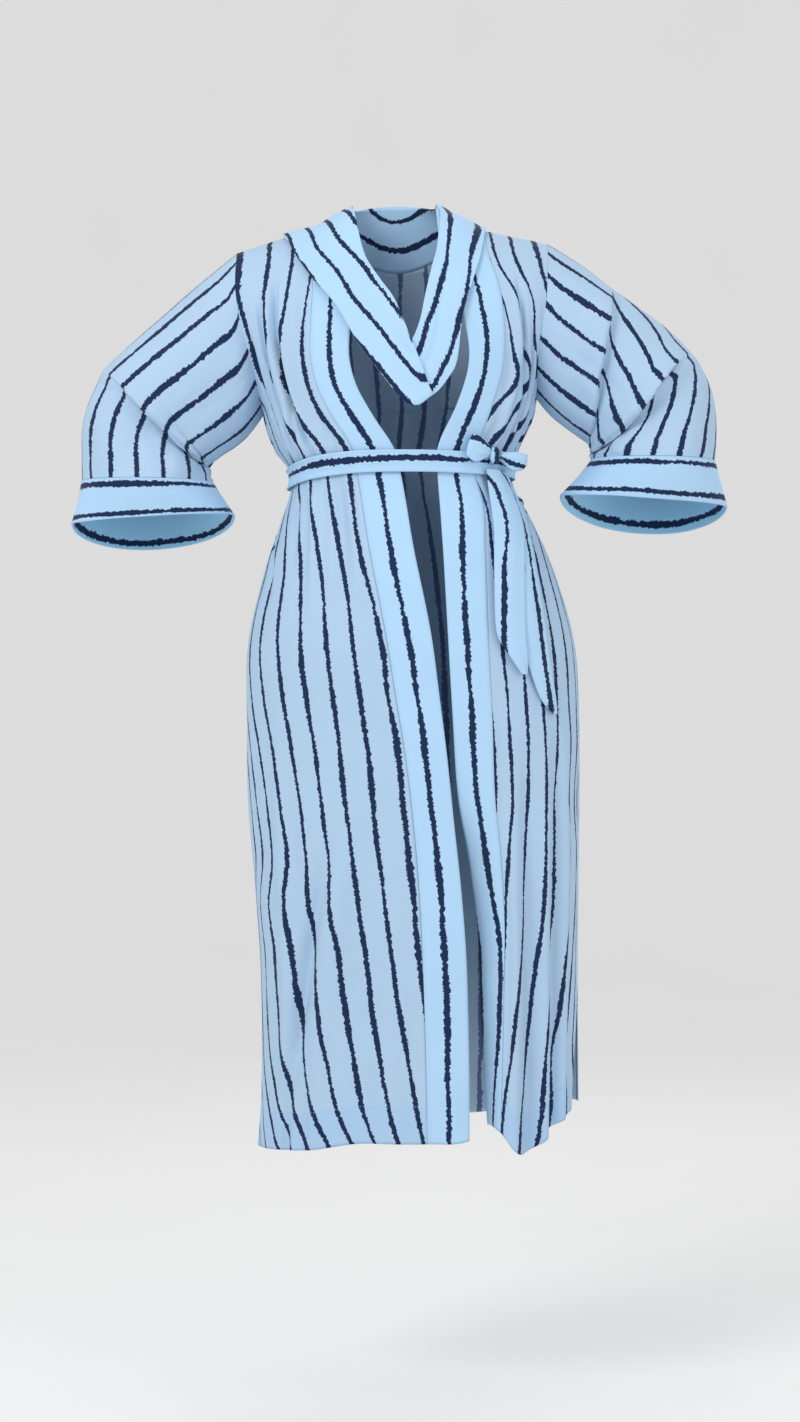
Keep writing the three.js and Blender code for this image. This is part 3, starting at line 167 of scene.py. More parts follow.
# Angles by which the edges of the slits stand open at the hem.
SLIT_RIGHT, SLIT_LEFT, SLIT_BACK = 0.07, 0.38, 0.05
# The x of the side seams at the hem, and of a band's seam and edge before they are read from its table.
SIDE_X = 190.0
SEAM_GUESS, EDGE_GUESS = 120.0, 60.0

BODY = table(
    "z right left front back",
    (-200, -172, 187, 133, 108),
    (-240, -172, 185, 132, 107),
    (-288, -156, 164, 125, 101),
    (-322, -133, 154, 119, 98),
    (-345, -136, 160, 121, 101),
    (-380, -147, 180, 132, 116),
    (-450, -170, 211, 145, 138),
    (-540, -191, 237, 150, 150),
    (-640, -193, 244, 150, 152),
    (-750, -192, 244, 150, 150),
    (-860, -183, 243, 150, 149),
    (-960, -176, 242, 150, 149),
    (-1150, -175, 244, 150, 150),
    (-1230, -182, 245, 150, 151),
)
SHOULDER = table(
    "x z", (-206, -29), (-147, -10), (-100, 3), (-60, 12), (0, 16), (60, 14), (119, 0), (202, -17))
ARMHOLE_RIGHT = table(
    "z x", (-29, -206), (-83, -206), (-130, -199), (-173, -187), (-212, -178), (-240, -172))
ARMHOLE_LEFT = table(
    "z x", (-17, 202), (-60, 200), (-97, 198), (-148, 190), (-190, 187), (-218, 187))
BAND_RIGHT = table(
    "z edge seam swing",
    (16, -54, -100, 0), (-30, -57, -102, 0), (-99, -57, -105, 0), (-136, -56, -107, 0),
    (-178, -57, -107, 0), (-216, -47, -98, 0), (-254, -26, -79, 0), (-296, 1, -53, 0),
    (-327, 9, -47, 0), (-420, 25, -32, 0), (-535, 48, -10, 0), (-610, 58, 2, 0),
    (-690, 68, 15, 0), (-784, 78, 26, 0), (-870, 87, 33, 0), (-980, 94, 38, 3), (-1200, 97, 44, 6))
BAND_LEFT = table(
    "z edge seam swing",
    (16, 54, 112, 0), (-35, 60, 122, 0), (-85, 78, 137, 0), (-136, 92, 143, 0),
    (-168, 97, 143, 0), (-194, 95, 140, 0), (-238, 81, 127, 0), (-295, 56, 108, 0),
    (-322, 56, 105, 0), (-365, 59, 116, 0), (-424, 63, 118, 0), (-530, 69, 121, 2),
    (-635, 75, 126, 4), (-746, 83, 130, 12), (-816, 96, 137, 26), (-904, 107, 142, 35),
    (-1000, 112, 141, 40), (-1200, 124, 136, 46))
# How far each band's stripe lies from the band's middle towards its seam.
BAND_PRINT = table(
    "z right left",
    (16, 0, 0), (-810, 0, 0), (-860, 0, 3), (-900, 0, 10), (-945, 0, 16), (-1015, 0, 17),
    (-1080, 0, 14), (-1135, 0, 5), (-1200, 0, 0))
HEM_FRONT = table(
    "x z",
    (-190, -1203), (-141, -1199), (-107, -1196), (-51, -1186), (44, -1185), (97, -1182),
    (124, -1165), (137, -1172), (150, -1194), (168, -1201), (185, -1190), (207, -1168),
    (245, -1140))
HEM_BACK = table("x z", (-190, -1203), (-60, -1190), (120, -1178), (250, -1146))

# Folds: top and bottom height, x at the top, middle and bottom, width, depth, and the lengths over
# which they rise and die away. A negative depth is a trough. The loose panels hang a little deeper.
FRONT_DEEPER, BACK_DEEPER = 1.15, 1.3
# Finer cloth: gathers at the belt, long soft runs, shorter ones, and a light crumple.
FINE_CLOTH = table(
    "height wide long lean", (2.4, 12, 150, 0), (2.2, 46, 420, 0), (0.9, 21, 240, 1 / 900),
    (0.4, 16, 38, 1 / 70))
FOLD_NAMES = "top bottom x0 x1 x2 width depth rise fade"
FOLDS_RIGHT = table(
    FOLD_NAMES,
    (-45, -330, -149, -147, -88, 4, -7, 80, 25),
    (-80, -330, -178, -158, -116, 4, -5, 60, 25),
    (-125, -330, -192, -164, -124, 4, -4.5, 50, 25),
    (-130, -330, -197, -174, -141, 4, -4, 50, 25),
    (-70, -200, -118, -119, -117, 6, -3, 50, 60),
    (-215, -330, -137, -128, -106, 4, -5, 40, 25),
    (-262, -330, -170, -158, -148, 4, -3.5, 25, 25),
    (-60, -330, -164, -153, -102, 7, 3.5, 80, 25),
    (-335, -500, -170, -178, -186, 7, 4, 20, 110),
    (-335, -520, -148, -158, -164, 7, -5, 20, 120),
    (-335, -480, -122, -128, -131, 7, -4, 20, 100),
    (-335, -560, -100, -104, -108, 8, 5, 20, 150),
    (-240, -580, -92, -66, -70, 8, -4, 50, 180),
    (-260, -540, -72, -50, -44, 8, 3.5, 40, 160),
    (-560, -1230, -160, -140, -132, 14, 5, 240, 0),
    (-760, -1230, -74, -118, -142, 12, -8, 160, 0),
    (-720, -1230, -52, -86, -104, 15, 6, 220, 0),
    (-700, -1230, -20, -38, -44, 18, -4, 260, 0),
    (-820, -1230, 4, 2, 0, 18, 3, 200, 0),
)
FOLDS_LEFT = table(
    FOLD_NAMES,
    (-190, -330, 172, 158, 118, 3.6, -7, 50, 25),
    (-130, -330, 179, 172, 129, 3.6, -7, 60, 25),
    (-150, -330, 187, 177, 140, 3.6, -6, 60, 25),
    (-100, -330, 193, 186, 150, 3.6, -6, 60, 25),
    (-55, -250, 159, 169, 168, 4.5, -5.5, 60, 80),
    (-60, -330, 146, 158, 106, 8, 4, 80, 30),
    (-335, -480, 168, 178, 190, 6, -4, 20, 110),
    (-300, -560, 158, 172, 186, 9, 4, 40, 160),
    (-300, -600, 146, 156, 166, 8, -4, 40, 180),
    (-640, -1230, 150, 152, 152, 13, 7, 260, 0),
    (-620, -1230, 168, 174, 172, 11, -5, 240, 0),
    (-560, -1230, 194, 194, 190, 10, 5, 260, 0),
    (-600, -1230, 212, 208, 203, 9, -5, 240, 0),
    (-640, -1230, 226, 220, 214, 9, 4, 240, 0),
)
FOLDS_BACK = table(
    FOLD_NAMES,
    (-90, -470, -150, -128, -112, 13, 5, 110, 120),
    (-120, -500, -118, -102, -94, 12, -5, 100, 140),
    (-150, -480, -86, -76, -72, 12, 5, 90, 130),
    (-170, -520, -54, -48, -48, 12, -4.5, 90, 150),
    (-180, -490, -20, -18, -20, 12, 4.5, 80, 140),
    (-170, -530, 14, 12, 12, 12, -5, 90, 150),
    (-160, -490, 50, 44, 46, 12, 5, 90, 140),
    (-140, -520, 86, 76, 80, 12, -5, 100, 150),
    (-110, -480, 122, 106, 114, 12, 5, 100, 130),
    (-90, -500, 158, 136, 142, 12, -4, 110, 140),
    (-560, -1230, -150, -140, -136, 20, 6, 300, 0),
    (-600, -1230, -96, -88, -84, 22, -7, 300, 0),
    (-560, -1230, -38, -30, -26, 22, 7, 320, 0),
    (-640, -1230, 26, 34, 38, 22, -7, 280, 0),
    (-560, -1230, 88, 98, 100, 22, 7, 300, 0),
    (-600, -1230, 152, 160, 160, 20, -6, 300, 0),
    (-640, -1230, 206, 212, 210, 14, 4, 260, 0),
)

RING_NAMES = "out_x out_z in_x in_z front back tilt"
SLEEVE_RIGHT = table(
    RING_NAMES,
    (-206, -29, -172, -240, 72, 60, 0),
    (-232, -50, -184, -258, 79, 68, 0),
    (-262, -75, -199, -275, 84, 75, 0),
    (-302, -111, -221, -292, 88, 82, 0),
    (-345, -149, -238, -303, 93, 86, 0),
    (-380, -181, -244, -309, 99, 88, 0),
    (-390, -200, -244, -312, 86, 89, 2),
    (-404, -230, -243, -316, 87, 91, 4),
    (-411, -262, -241, -320, 92, 93, 8),
    (-411, -296, -240, -325, 96, 96, 12),
    (-411, -329, -239, -331, 98, 98, 16),
)
SLEEVE_LEFT = table(
    RING_NAMES,
    (202, -17, 187, -218, 72, 60, 0),
    (226, -31, 205, -240, 78, 68, 0),
    (254, -50, 228, -260, 82, 73, 0),
    (281, -72, 252, -277, 92, 76, 0),
    (292, -80, 256, -281, 78, 78, 0),
    (327, -104, 259, -286, 85, 83, 0),
    (365, -134, 260, -289, 92, 87, 0),
    (393, -163, 260, -291, 98, 90, 0),
    (405, -180, 260, -293, 86, 91, 2),
    (418, -207, 260, -295, 88, 93, 5),
    (424, -240, 260, -297, 93, 95, 9),
    (425, -272, 261, -299, 97, 98, 13),
    (423, -303, 261, -301, 99, 100, 17),
)
CUFF_RIGHT = table(
    RING_NAMES,
    (-411, -329, -239, -331, 98, 98, 16), (-417, -357, -225, -352, 91, 91, 24),
    (-426, -386, -210, -373, 82, 82, 36))
CUFF_LEFT = table(
    RING_NAMES,
    (423, -303, 261, -301, 99, 100, 17), (431, -333, 242, -325, 92, 92, 26),
    (440, -363, 220, -348, 82, 82, 38))

# Sharp folds across a sleeve, where the cloth above hangs over the cloth below: place along the sleeve at
# the outer and the inner side, overhang above, tuck below, and how far round from the front it reaches.
STEP_NAMES = "outer inner over tuck fall centre reach"
STEPS_RIGHT = table(
    STEP_NAMES, (0.50, 0.60, 5.0, -9.0, 0.09, 1.75, 1.35), (0.36, 0.47, 2.0, -2.5, 0.06, 2.3, 0.7),
    (0.53, 0.60, 3.5, -6.0, 0.09, -1.9, 1.1))
STEPS_LEFT = table(
    STEP_NAMES, (0.27, 0.31, 3.0, -3.0, 0.04, 1.45, 1.45), (0.56, 0.66, 6.0, -9.0, 0.07, 1.9, 1.45),
    (0.58, 0.66, 3.5, -6.0, 0.09, -1.9, 1.1))

# How the print turns round each sleeve between its two sharp folds, which stand at 0.3 and 0.6: stripes
# to add, and stripes to a stripe's width on the front half.
PRINT_NAMES = "share turned fullness"
PRINT_RIGHT = table(PRINT_NAMES, (0, 0, 1), (0.3, -0.1, 1), (0.6, 0, 1), (1, 0.05, 1))
PRINT_LEFT = table(
    PRINT_NAMES,
    (0, 3, 1), (0.2999, 3, 1), (0.3, 2.9, 0.72), (0.406, 1.98, 0.757), (0.474, 1.52, 0.81),
    (0.54, 0.62, 0.98), (0.5999, 0.55, 0.98), (0.6, 0.55, 0.83), (0.66, 0.5, 0.833),
    (0.72, 0.2, 0.79), (0.8, -0.5, 0.86), (0.88, -1.05, 0.93), (1, -1.35, 0.97))

SLEEVE_FOLD_NAMES = "start stop a0 a1 width depth"
SLEEVE_FOLDS_RIGHT = table(
    SLEEVE_FOLD_NAMES,
    (0.05, 0.6, 1.0, 1.2, 0.2, 3), (0.12, 0.6, 1.9, 1.9, 0.2, -3.5), (0.1, 0.58, 2.55, 2.4, 0.16, 3.5),
    (0.5, 1.1, 1.7, 1.3, 0.22, -5), (0.55, 1.1, 2.3, 2.1, 0.22, 4), (0.1, 0.7, -1.2, -1.5, 0.25, -4),
    (0.2, 0.9, -2.1, -2.3, 0.25, 4))
SLEEVE_FOLDS_LEFT = table(
    SLEEVE_FOLD_NAMES,
    (0.04, 0.5, 0.9, 1.0, 0.2, 3), (0.1, 0.5, 1.7, 1.8, 0.2, -3.5), (0.08, 0.45, 2.5, 2.4, 0.16, 3),
    (0.6, 1.1, 1.7, 1.4, 0.22, -5), (0.6, 1.1, 2.3, 2.2, 0.22, 4), (0.1, 0.7, -1.3, -1.5, 0.25, -4),
    (0.2, 0.9, -2.1, -2.2, 0.25, 4))

# The collar's print: flat place = stretch x distance from the inner edge - slide. The first and the last
# row are the same line, where the wearer's right end crosses over the left one.
DRAPE = table(
    "in_x in_turn in_lift in_rise out_x out_turn out_lift slide stretch",
    (22, -0.85, 13, 0, 47, -1.005, 14, 6.3, 0.8),
    (14, -0.8, 12, 0, 16, -1.018, 13, 5.2, 0.82),
    (0, -0.711, 9, 0, -40, -0.865, 10, 8.4, 1.115),
    (-18, -0.628, 7, 0, -75, -0.712, 8, 9, 1.1),
    (-36, -0.52, 6, 0, -106, -0.576, 7, 14.3, 1.2),
    (-48, -0.34, 6, 0, -130, -0.38, 6, 42, 1.3),
    (-54, -0.06, 3.8, 0, -144, -0.06, 5, 55, 1.4),
    (-48, 0.28, 3, 24, -120, 0.36, 5, 54, 1.2),
    (-27, 0.44, 3, 40, -68, 0.6, 5, 52, 1),
    (2, 0.49, 3, 46, 2, 0.68, 5, 51, 1),
    (30, 0.44, 3, 40, 70, 0.6, 5, 50, 1),
    (50, 0.28, 3, 24, 112, 0.36, 5, 50, 0.95),
    (55, -0.06, 3.6, 0, 120, -0.06, 5, 49, 0.87),
    (59, -0.276, 5.5, 0, 113, -0.43, 5, 53.5, 0.85),
    (56, -0.457, 5, 0, 101, -0.619, 6, 57, 0.92),
    (49, -0.575, 6, 0, 88, -0.756, 6, 57.5, 0.8),
    (40, -0.7, 6, 0, 80, -0.905, 7, 54.2, 0.713),
    (33, -0.79, 7, 0, 68, -0.96, 9, 49.4, 0.726),
    (22, -0.85, 13, 0, 47, -1.005, 14, 54.5, 0.8),
)

TAIL_NAMES = "left_x left_z right_x right_z lift"
TAIL_FRONT = table(
    TAIL_NAMES,
    (112, -319, 127, -319, 12.6), (117, -350, 145, -351, 12), (124, -394, 161, -396, 11.6),
    (125, -455, 163, -458, 11.6), (128, -528, 165, -536, 11.6), (141, -556, 167, -562, 11.6),
    (160, -585, 167, -585, 11.6))
TAIL_SIDE = table(
    TAIL_NAMES,
    (124, -325, 137, -319, 8.8), (121, -345, 148, -341, 8.4), (126, -404, 168, -390, 8),
    (140, -463, 180, -448, 8), (155, -522, 190, -512, 8), (167, -564, 198, -570, 8),
    (185, -614, 205, -618, 8), (201, -635, 206, -636, 8))
KNOT = (130.5, -96.9, -302.0)
KNOT_HALF = (6.5, 8.0, 11.0)
KNOT_SLOPE = 0.9
LOOPS = table(
    "x y z to_x to_y to_z width spread stripe",
    (124.0, -103.6, -299, 98, -121.5, -293, 34, 11, -12.5),
    (138.0, -88.8, -303, 169, -77.5, -312, 25, 11, -4),
)

# How the print lies on each panel: flat place = seam + fullness x d + swell x d^2 / 1000, at a distance d
# from the band seam, or from the middle of the back. A pleat at a distance hides that much of the cloth.
PLEAT_WIDTH = 14
GRAIN_NAMES = "z seam fullness swell pleat hidden"
GRAIN_RIGHT = table(
    GRAIN_NAMES,
    (16, -3.6, 1.45, -3, 47, 0), (-60, -3.6, 1.45, -3, 47, 0), (-100, -12, 1.55, -3, 47, 0),
    (-150, -15, 1.24, 0, 47, 18), (-200, -11, 1.0, 1.5, 60, 26), (-255, -14, 1.0, 2.5, 60, 18),
    (-290, -9, 1.1, 1.3, 60, 0), (-345, -13, 1.2, 1, 60, 0), (-434, -16, 1.35, 0, 60, 0),
    (-486, -10, 1.2, 0, 60, 0), (-550, -8, 1.07, 0, 60, 0), (-618, -11, 1.08, 0, 60, 0),
    (-680, -8, 0.95, 0.9, 60, 0), (-750, -9, 0.9, 1.4, 60, 0), (-820, -10, 0.95, 1.25, 60, 0),
    (-882, -8, 1.04, 0.3, 60, 0), (-950, -4.5, 1.12, 0, 60, 0), (-1014, 3, 1.1, 0, 60, 0),
    (-1080, 14.5, 1.09, 0, 60, 0), (-1146, 26, 1.05, 0.5, 60, 0), (-1210, 38, 1.3, 0, 60, 0))
GRAIN_LEFT = table(
    GRAIN_NAMES,
    (16, 22, 1.6, -3.5, 30, 0), (-60, 22, 1.6, -3.5, 30, 0), (-100, 0, 1.85, -2.5, 30, 0),
    (-150, -17.6, 1.95, 0, 30, 0), (-200, -20, 0.65, 8, 30, 0), (-255, 2, 1.0, 1.3, 30, 0),
    (-290, 18, 1.17, 0, 30, 0), (-345, 0, 1.35, 0.5, 30, 0), (-434, -14, 1.45, 0.6, 30, 0),
    (-540, -24, 1.35, 0.3, 30, 0), (-618, -34, 1.4, 0.3, 30, 0), (-680, -38, 1.4, 0.3, 30, 0),
    (-750, -38, 1.35, 1.4, 30, 0), (-820, -18, 1.3, 0.5, 30, 0), (-882, -4, 1.2, 1, 30, 0),
    (-950, 4, 1.3, 0.5, 30, 0), (-1014, 12, 1.25, 0.9, 30, 0), (-1080, 20, 1.25, 1, 30, 0),
    (-1146, 35, 1.05, 1, 30, 0), (-1210, 38, 1.1, 0.8, 30, 0))
GRAIN_BACK = table(
    GRAIN_NAMES,
    (16, 0, 1.05, 0, 0, 0), (-150, 0, 1.1, 0, 0, 0), (-255, 0, 1.35, 0, 0, 0), (-320, 0, 1.6, 0, 0, 0),
    (-354, 0, 1.55, 0, 0, 0), (-434, 0, 1.2, 0, 0, 0), (-540, 0, 1.0, 0, 0, 0), (-1210, 0, 1.0, 0, 0, 0))

# Stripes round a sleeve, and the place along the cloth at which a piece without a hem starts.
STRIPES_ROUND = 15
CLEAR_OF_HEM = 1000

# Points across and down each piece's mesh. The panels have rows over the shoulder and rows below it.
CALM_COLUMNS = 8
FRONT_GRID = (144, 66, 220)
BACK_GRID = (150, 44, 210)
SLEEVE_GRID = (150, 150)
CUFF_GRID = (150, 26)
BAND_ACROSS = 16
NECK_GRID = (72, 18)
DRAPE_GRID = (300, 44)
BELT_GRID = (260, 14)
TAIL_GRID = (14, 96)
LOOP_GRID = (40, 18)
KNOT_GRID = (40, 56)


# ---------------------------------------------------------------- the skin

def shoulder_height(x):
    return read(SHOULDER, "x", "z", x)


def underarm_height(x):
    right, left = ARMHOLE_RIGHT, ARMHOLE_LEFT
    share = np.clip((x - right["x"][-1]) / (left["x"][-1] - right["x"][-1]), 0, 1)
    return mix(right["z"][-1], left["z"][-1], share)


def dome_height(turn, x):
    return mix(shoulder_height(x), underarm_height(x), np.abs(turn) ** DOME_POWER)


def row_height(turn, share, x, hem):
    lower = mix(underarm_height(x), read(hem, "x", "z", x), share)
    return np.where(share > 0, lower, dome_height(turn, x))


def armhole_share(turn):
    return ARMHOLE_SHARE * (1 - np.clip(turn, 0, 1) ** 5) ** 0.55


def section(turn, share, side, z):
    """The section at a row: centre, half width on one side, depths in front and behind, edge angle.

    Below the underarm they are read from the body's table. Above it the depths swell as a quarter sine,
    and the half width is the one that brings the armhole seam to its place.
    """
    right, left = read(BODY, "z", "right", z), read(BODY, "z", "left", z)
    edge_angle = np.arcsin(armhole_share(turn) ** (POWER / 2))
    drop = turn ** DOME_POWER
    seam_left = read(ARMHOLE_LEFT, "z", "x", mix(ARMHOLE_LEFT["z"][0], ARMHOLE_LEFT["z"][-1], drop))
    seam_right = read(ARMHOLE_RIGHT, "z", "x", mix(ARMHOLE_RIGHT["z"][0], ARMHOLE_RIGHT["z"][-1], drop))
    seam = np.where(side > 0, seam_left, seam_right)
    swell = np.sin(HALF_PI * turn)
    below = share > 0
    return (
        np.where(below, (left + right) / 2, UPPER_CENTRE),
        np.where(below, (left - right) / 2,
                 np.abs(seam - UPPER_CENTRE) / np.cos(edge_angle) ** (2 / POWER)),
        np.where(below, read(BODY, "z", "front", z), CHEST_DEPTH * swell),
        np.where(below, read(BODY, "z", "back", z), BLADE_DEPTH * swell),
        np.where(below, 0.0, edge_angle),
    )


def skin_point(turn, share, face, side, angle, hem):
    """Points of the skin: x = centre + side half cos^(2/p), y = face depth sin^(2/p), z from the row."""
    x = np.zeros(np.broadcast(turn, share, side, angle).shape)
    z = row_height(turn, share, x, hem)
    for _ in range(3):
        centre, half, front, back, _edge = section(turn, share, side, z)
        x = centre + side * half * signed_power(np.cos(angle), 2 / POWER)
        z = row_height(turn, share, x, hem)
    centre, half, front, back, _edge = section(turn, share, side, z)
    depth = front if face < 0 else back
    y = face * depth * np.abs(np.sin(angle)) ** (2 / POWER)
    return np.stack(np.broadcast_arrays(x, y, z), -1)


def angle_at(turn, share, side, x, hem):
    centre, half, *_ = section(turn, share, side, row_height(turn, share, x, hem))
    return np.arccos(signed_power(np.clip(side * (x - centre) / half, -1, 1), POWER / 2))


def dome_point(x, turn):
    """A point over the shoulder by its turn, from -1 in front to 1 behind."""
    side = np.where(x < UPPER_CENTRE, -1.0, 1.0)
    bent = np.minimum(np.abs(turn), 1.0)
    angle = angle_at(bent, np.zeros_like(bent), side, x, HEM_FRONT)
    _c, _h, front, back, _e = section(bent, np.zeros_like(bent), side, np.zeros_like(bent))
    depth = np.where(turn < 0, front, back)
    y = np.sign(turn) * depth * np.abs(np.sin(angle)) ** (2 / POWER)
    return np.stack(np.broadcast_arrays(x, y, dome_height(turn, x)), -1)


def front_point(x, z):
    """A point of the front below the underarm, straight from its x and z."""
    right, left = read(BODY, "z", "right", z), read(BODY, "z", "left", z)
    share = np.clip(np.abs(x - (left + right) / 2) / ((left - right) / 2), 0, 1)
    y = -read(BODY, "z", "front", z) * (1 - share ** POWER) ** (1 / POWER)
    return np.stack(np.broadcast_arrays(x, y, z), -1)


def belt_height(angle):
    """Height of the belt's middle round the waist, 0 at +X and a right angle in front."""
    side = mix(BELT_LEFT, BELT_RIGHT, (1 - np.cos(angle)) / 2)
    middle = np.where(np.sin(angle) > 0, BELT_FRONT, BELT_BACK)
    return mix(side, middle, np.abs(np.sin(angle)) ** 1.5)


def waist_gap(points):
    """Height above the belt's middle, in belt widths."""
    angle = np.arctan2(-points[..., 1], points[..., 0] - UPPER_CENTRE)
    return (points[..., 2] - belt_height(angle)) / BELT_WIDTH


# ---------------------------------------------------------------- grids

def normals_of(points, closed=False):
    """Unit normals of a grid of points: the cross product of its central differences."""
    if closed:
        across = np.roll(points, -1, 1) - np.roll(points, 1, 1)
    else:
        across = np.gradient(points, axis=1)
    out = np.cross(across, np.gradient(points, axis=0))
    return out / np.maximum(np.linalg.norm(out, axis=-1, keepdims=True), 1e-9)


def raised(points, relief, closed=False):
    return points + normals_of(points, closed) * np.asarray(relief)[..., None]


def lengths_across(points):
    """Distance along each row from its first point."""
    steps = np.linalg.norm(np.diff(points, axis=1), axis=-1)
    return np.concatenate((np.zeros((len(points), 1)), np.cumsum(steps, 1)), 1)


def lengths_down(points):
    """Distance along each column up from its last point."""
    steps = np.linalg.norm(np.diff(points, axis=0), axis=-1)
    down = np.concatenate((np.zeros((1, points.shape[1])), np.cumsum(steps, 0)), 0)
    return down[-1] - down


def flat_map(across, along):
    """Places on the flat cloth of a piece without a hem: across the print, and along it past any hem."""
    return np.stack(np.broadcast_arrays(across, CLEAR_OF_HEM + along), -1)


def body_rows(upper, lower):
    """Turns and shares of a body panel's rows: even over the shoulder, then even down to the hem."""
    turn = np.concatenate((np.sin(HALF_PI * np.linspace(0, 1, upper + 1)), np.ones(lower)))
    share = np.concatenate((np.zeros(upper + 1), np.linspace(0, 1, lower + 1)[1:]))
    return turn[:, None], share[:, None]


def add_object(name, mesh):
    piece = bpy.data.objects.new(name, mesh)
    bpy.context.scene.collection.objects.link(piece)
    return piece


def grid_object(name, points, flat, closed=False):
    """A mesh object from a grid of points in mm, with a flat map in metres of cloth (across, along)."""
    rows, columns = points.shape[:2]
    spans = columns if closed else columns - 1
    index = np.arange(rows * columns).reshape(rows, columns)
    nxt = np.roll(index, -1, 1) if closed else index[:, 1:]
    now = index if closed else index[:, :-1]
    quads = np.stack((now[:-1], nxt[:-1], nxt[1:], now[1:]), -1).reshape(-1, 4)
    mesh = bpy.data.meshes.new(name)
    mesh.vertices.add(rows * columns)
    mesh.vertices.foreach_set("co", (points * MM).ravel())
    mesh.loops.add(quads.size)
    mesh.loops.foreach_set("vertex_index", quads.ravel())
    mesh.polygons.add(len(quads))
    mesh.polygons.foreach_set("loop_start", np.arange(0, quads.size, 4))
    mesh.polygons.foreach_set("loop_total", np.full(len(quads), 4))
    if flat.shape[1] == columns and closed:
        flat = np.concatenate((flat, flat[:, :1]), 1)
    wide = np.arange(rows * (spans + 1)).reshape(rows, spans + 1)
    corner = np.stack((wide[:-1, :-1], wide[:-1, 1:], wide[1:, 1:], wide[1:, :-1]), -1).ravel()
    layer = mesh.uv_layers.new(name="flat")
    layer.data.foreach_set("uv", (flat.reshape(-1, 2)[corner] * MM).ravel())
    mesh.update(calc_edges=True)
    mesh.validate()
    mesh.shade_smooth()
    return add_object(name, mesh)


def thicken(piece, thickness, materials):
    """Gives a sheet its cloth thickness, half on each side, with its reverse in the second material."""
    for material in materials:
        piece.data.materials.append(material)
    solid = piece.modifiers.new("cloth", "SOLIDIFY")
    solid.thickness = thickness
    solid.offset = 0.0
    solid.use_even_offset = False
    solid.material_offset = len(materials) - 1
    return piece


# ---------------------------------------------------------------- folds

def fold_relief(folds, turn, share, face, side, angle, points, hem):
    """Sum of the table's folds: each is depth (1 - t^2/2) exp(-t^2/2), t its distance over its width."""
    z = points[..., 2]
    total = np.zeros(z.shape)
    centre, half, front, back, _edge = section(turn, share, side, z)
    radius = (half + (front if face < 0 else back)) / 2
    for fold in rows_of(folds):
        along = (fold["top"] - z) / (fold["top"] - fold["bottom"])
        x = (fold["x0"] * (1 - along) * (1 - 2 * along) + 4 * fold["x1"] * along * (1 - along)
             + fold["x2"] * along * (2 * along - 1))
        fold_side = np.where(x < centre, -1.0, 1.0)
        own = angle_at(turn, share, fold_side, x, hem)
        swept = np.where(fold_side == side, own, math.pi - own)
        t = (angle - swept) * radius / fold["width"]
        rise = smooth((fold["top"] - z) / fold["rise"])
        fade = smooth((z - fold["bottom"]) / fold["fade"]) if fold["fade"] > 0 else 1.0
        inside = (along > 0) & (along < 1)
        total += np.where(inside, fold["depth"] * rise * fade * (1 - t * t / 2) * np.exp(-t * t / 2), 0)
    return total * mix(WAIST_RELIEF, 1.0, smooth(np.abs(waist_gap(points)) - 0.6))


def cloth_relief(points, across, seed):
    """Finer cloth: the sum of each kind of ripple, strong at the belt, on the skirt or all over."""
    z = points[..., 2]
    gap = waist_gap(points)
    near = np.exp(-np.maximum(np.abs(gap) - 0.5, 0) * BELT_WIDTH / 75.0)
    calm = mix(0.5, 1.0, smooth(np.abs(gap) - 0.45))
    skirt = smooth((-430 - z) / 300)
    strength = (near, skirt, 0.35 + 0.65 * skirt, 1.0)
    total = np.zeros(z.shape)
    for k, kind in enumerate(rows_of(FINE_CLOTH)):
        places = across / kind["wide"] + z * kind["lean"]
        total += kind["height"] * strength[k] * ripple(places, z / kind["long"], seed + k)
    return total * calm


def flat_place(grain, z, d):
    """Place on the flat cloth at a distance d: seam + fullness d + swell d^2 / 1000 + what a pleat hides."""
    seam, fullness, swell, pleat, hidden = (read(grain, "z", name, z) for name in list(grain)[1:])
    return seam + fullness * d + swell * d * d / 1000 + hidden * smooth((d - pleat) / PLEAT_WIDTH)


def seam_calm(count):
    """Weights across a panel that die away over its first and last few columns."""
    j = np.arange(count)
    return smooth(j / CALM_COLUMNS) * smooth((count - 1 - j) / CALM_COLUMNS)


# ---------------------------------------------------------------- panels and bands

def front_sheet(side, bands, folds, grain, seed):
    """A front: rows from the shoulder to the hem, columns from band seam to side in even angle."""
    columns, upper, lower = FRONT_GRID
    turn, share = body_rows(upper, lower)
    z = row_height(turn, share, side * SEAM_GUESS, HEM_FRONT)
    for _ in range(3):
        seam = read(bands, "z", "seam", z) + side * SEAM / 2
        z = row_height(turn, share, seam, HEM_FRONT)
    inner = angle_at(turn, share, side, seam, HEM_FRONT)
    low = row_height(turn, share, side * SIDE_X, HEM_FRONT)
    opened = (SLIT_LEFT if side > 0 else SLIT_RIGHT) * smooth((SLIT_TOP - low) / (SLIT_TOP - HEM))
    edge = section(turn, share, side, low)[4] + opened
    spread = np.linspace(0, 1, columns)[None, :]
    angle = mix(edge, inner, spread if side > 0 else 1 - spread)
    base = skin_point(turn, share, -1, side, angle, HEM_FRONT)
    base[..., 1] -= SEAM / 2
    across = lengths_across(base)
    from_seam = across[:, -1:] - across if side > 0 else across
    u = flat_place(grain, base[..., 2], from_seam)
    flat = np.stack((u, lengths_down(base)), -1)
    relief = fold_relief(folds, turn, share, -1, side, angle, base, HEM_FRONT) * FRONT_DEEPER
    relief = (relief + cloth_relief(base, u, seed)) * seam_calm(columns)
    return raised(base, relief), flat


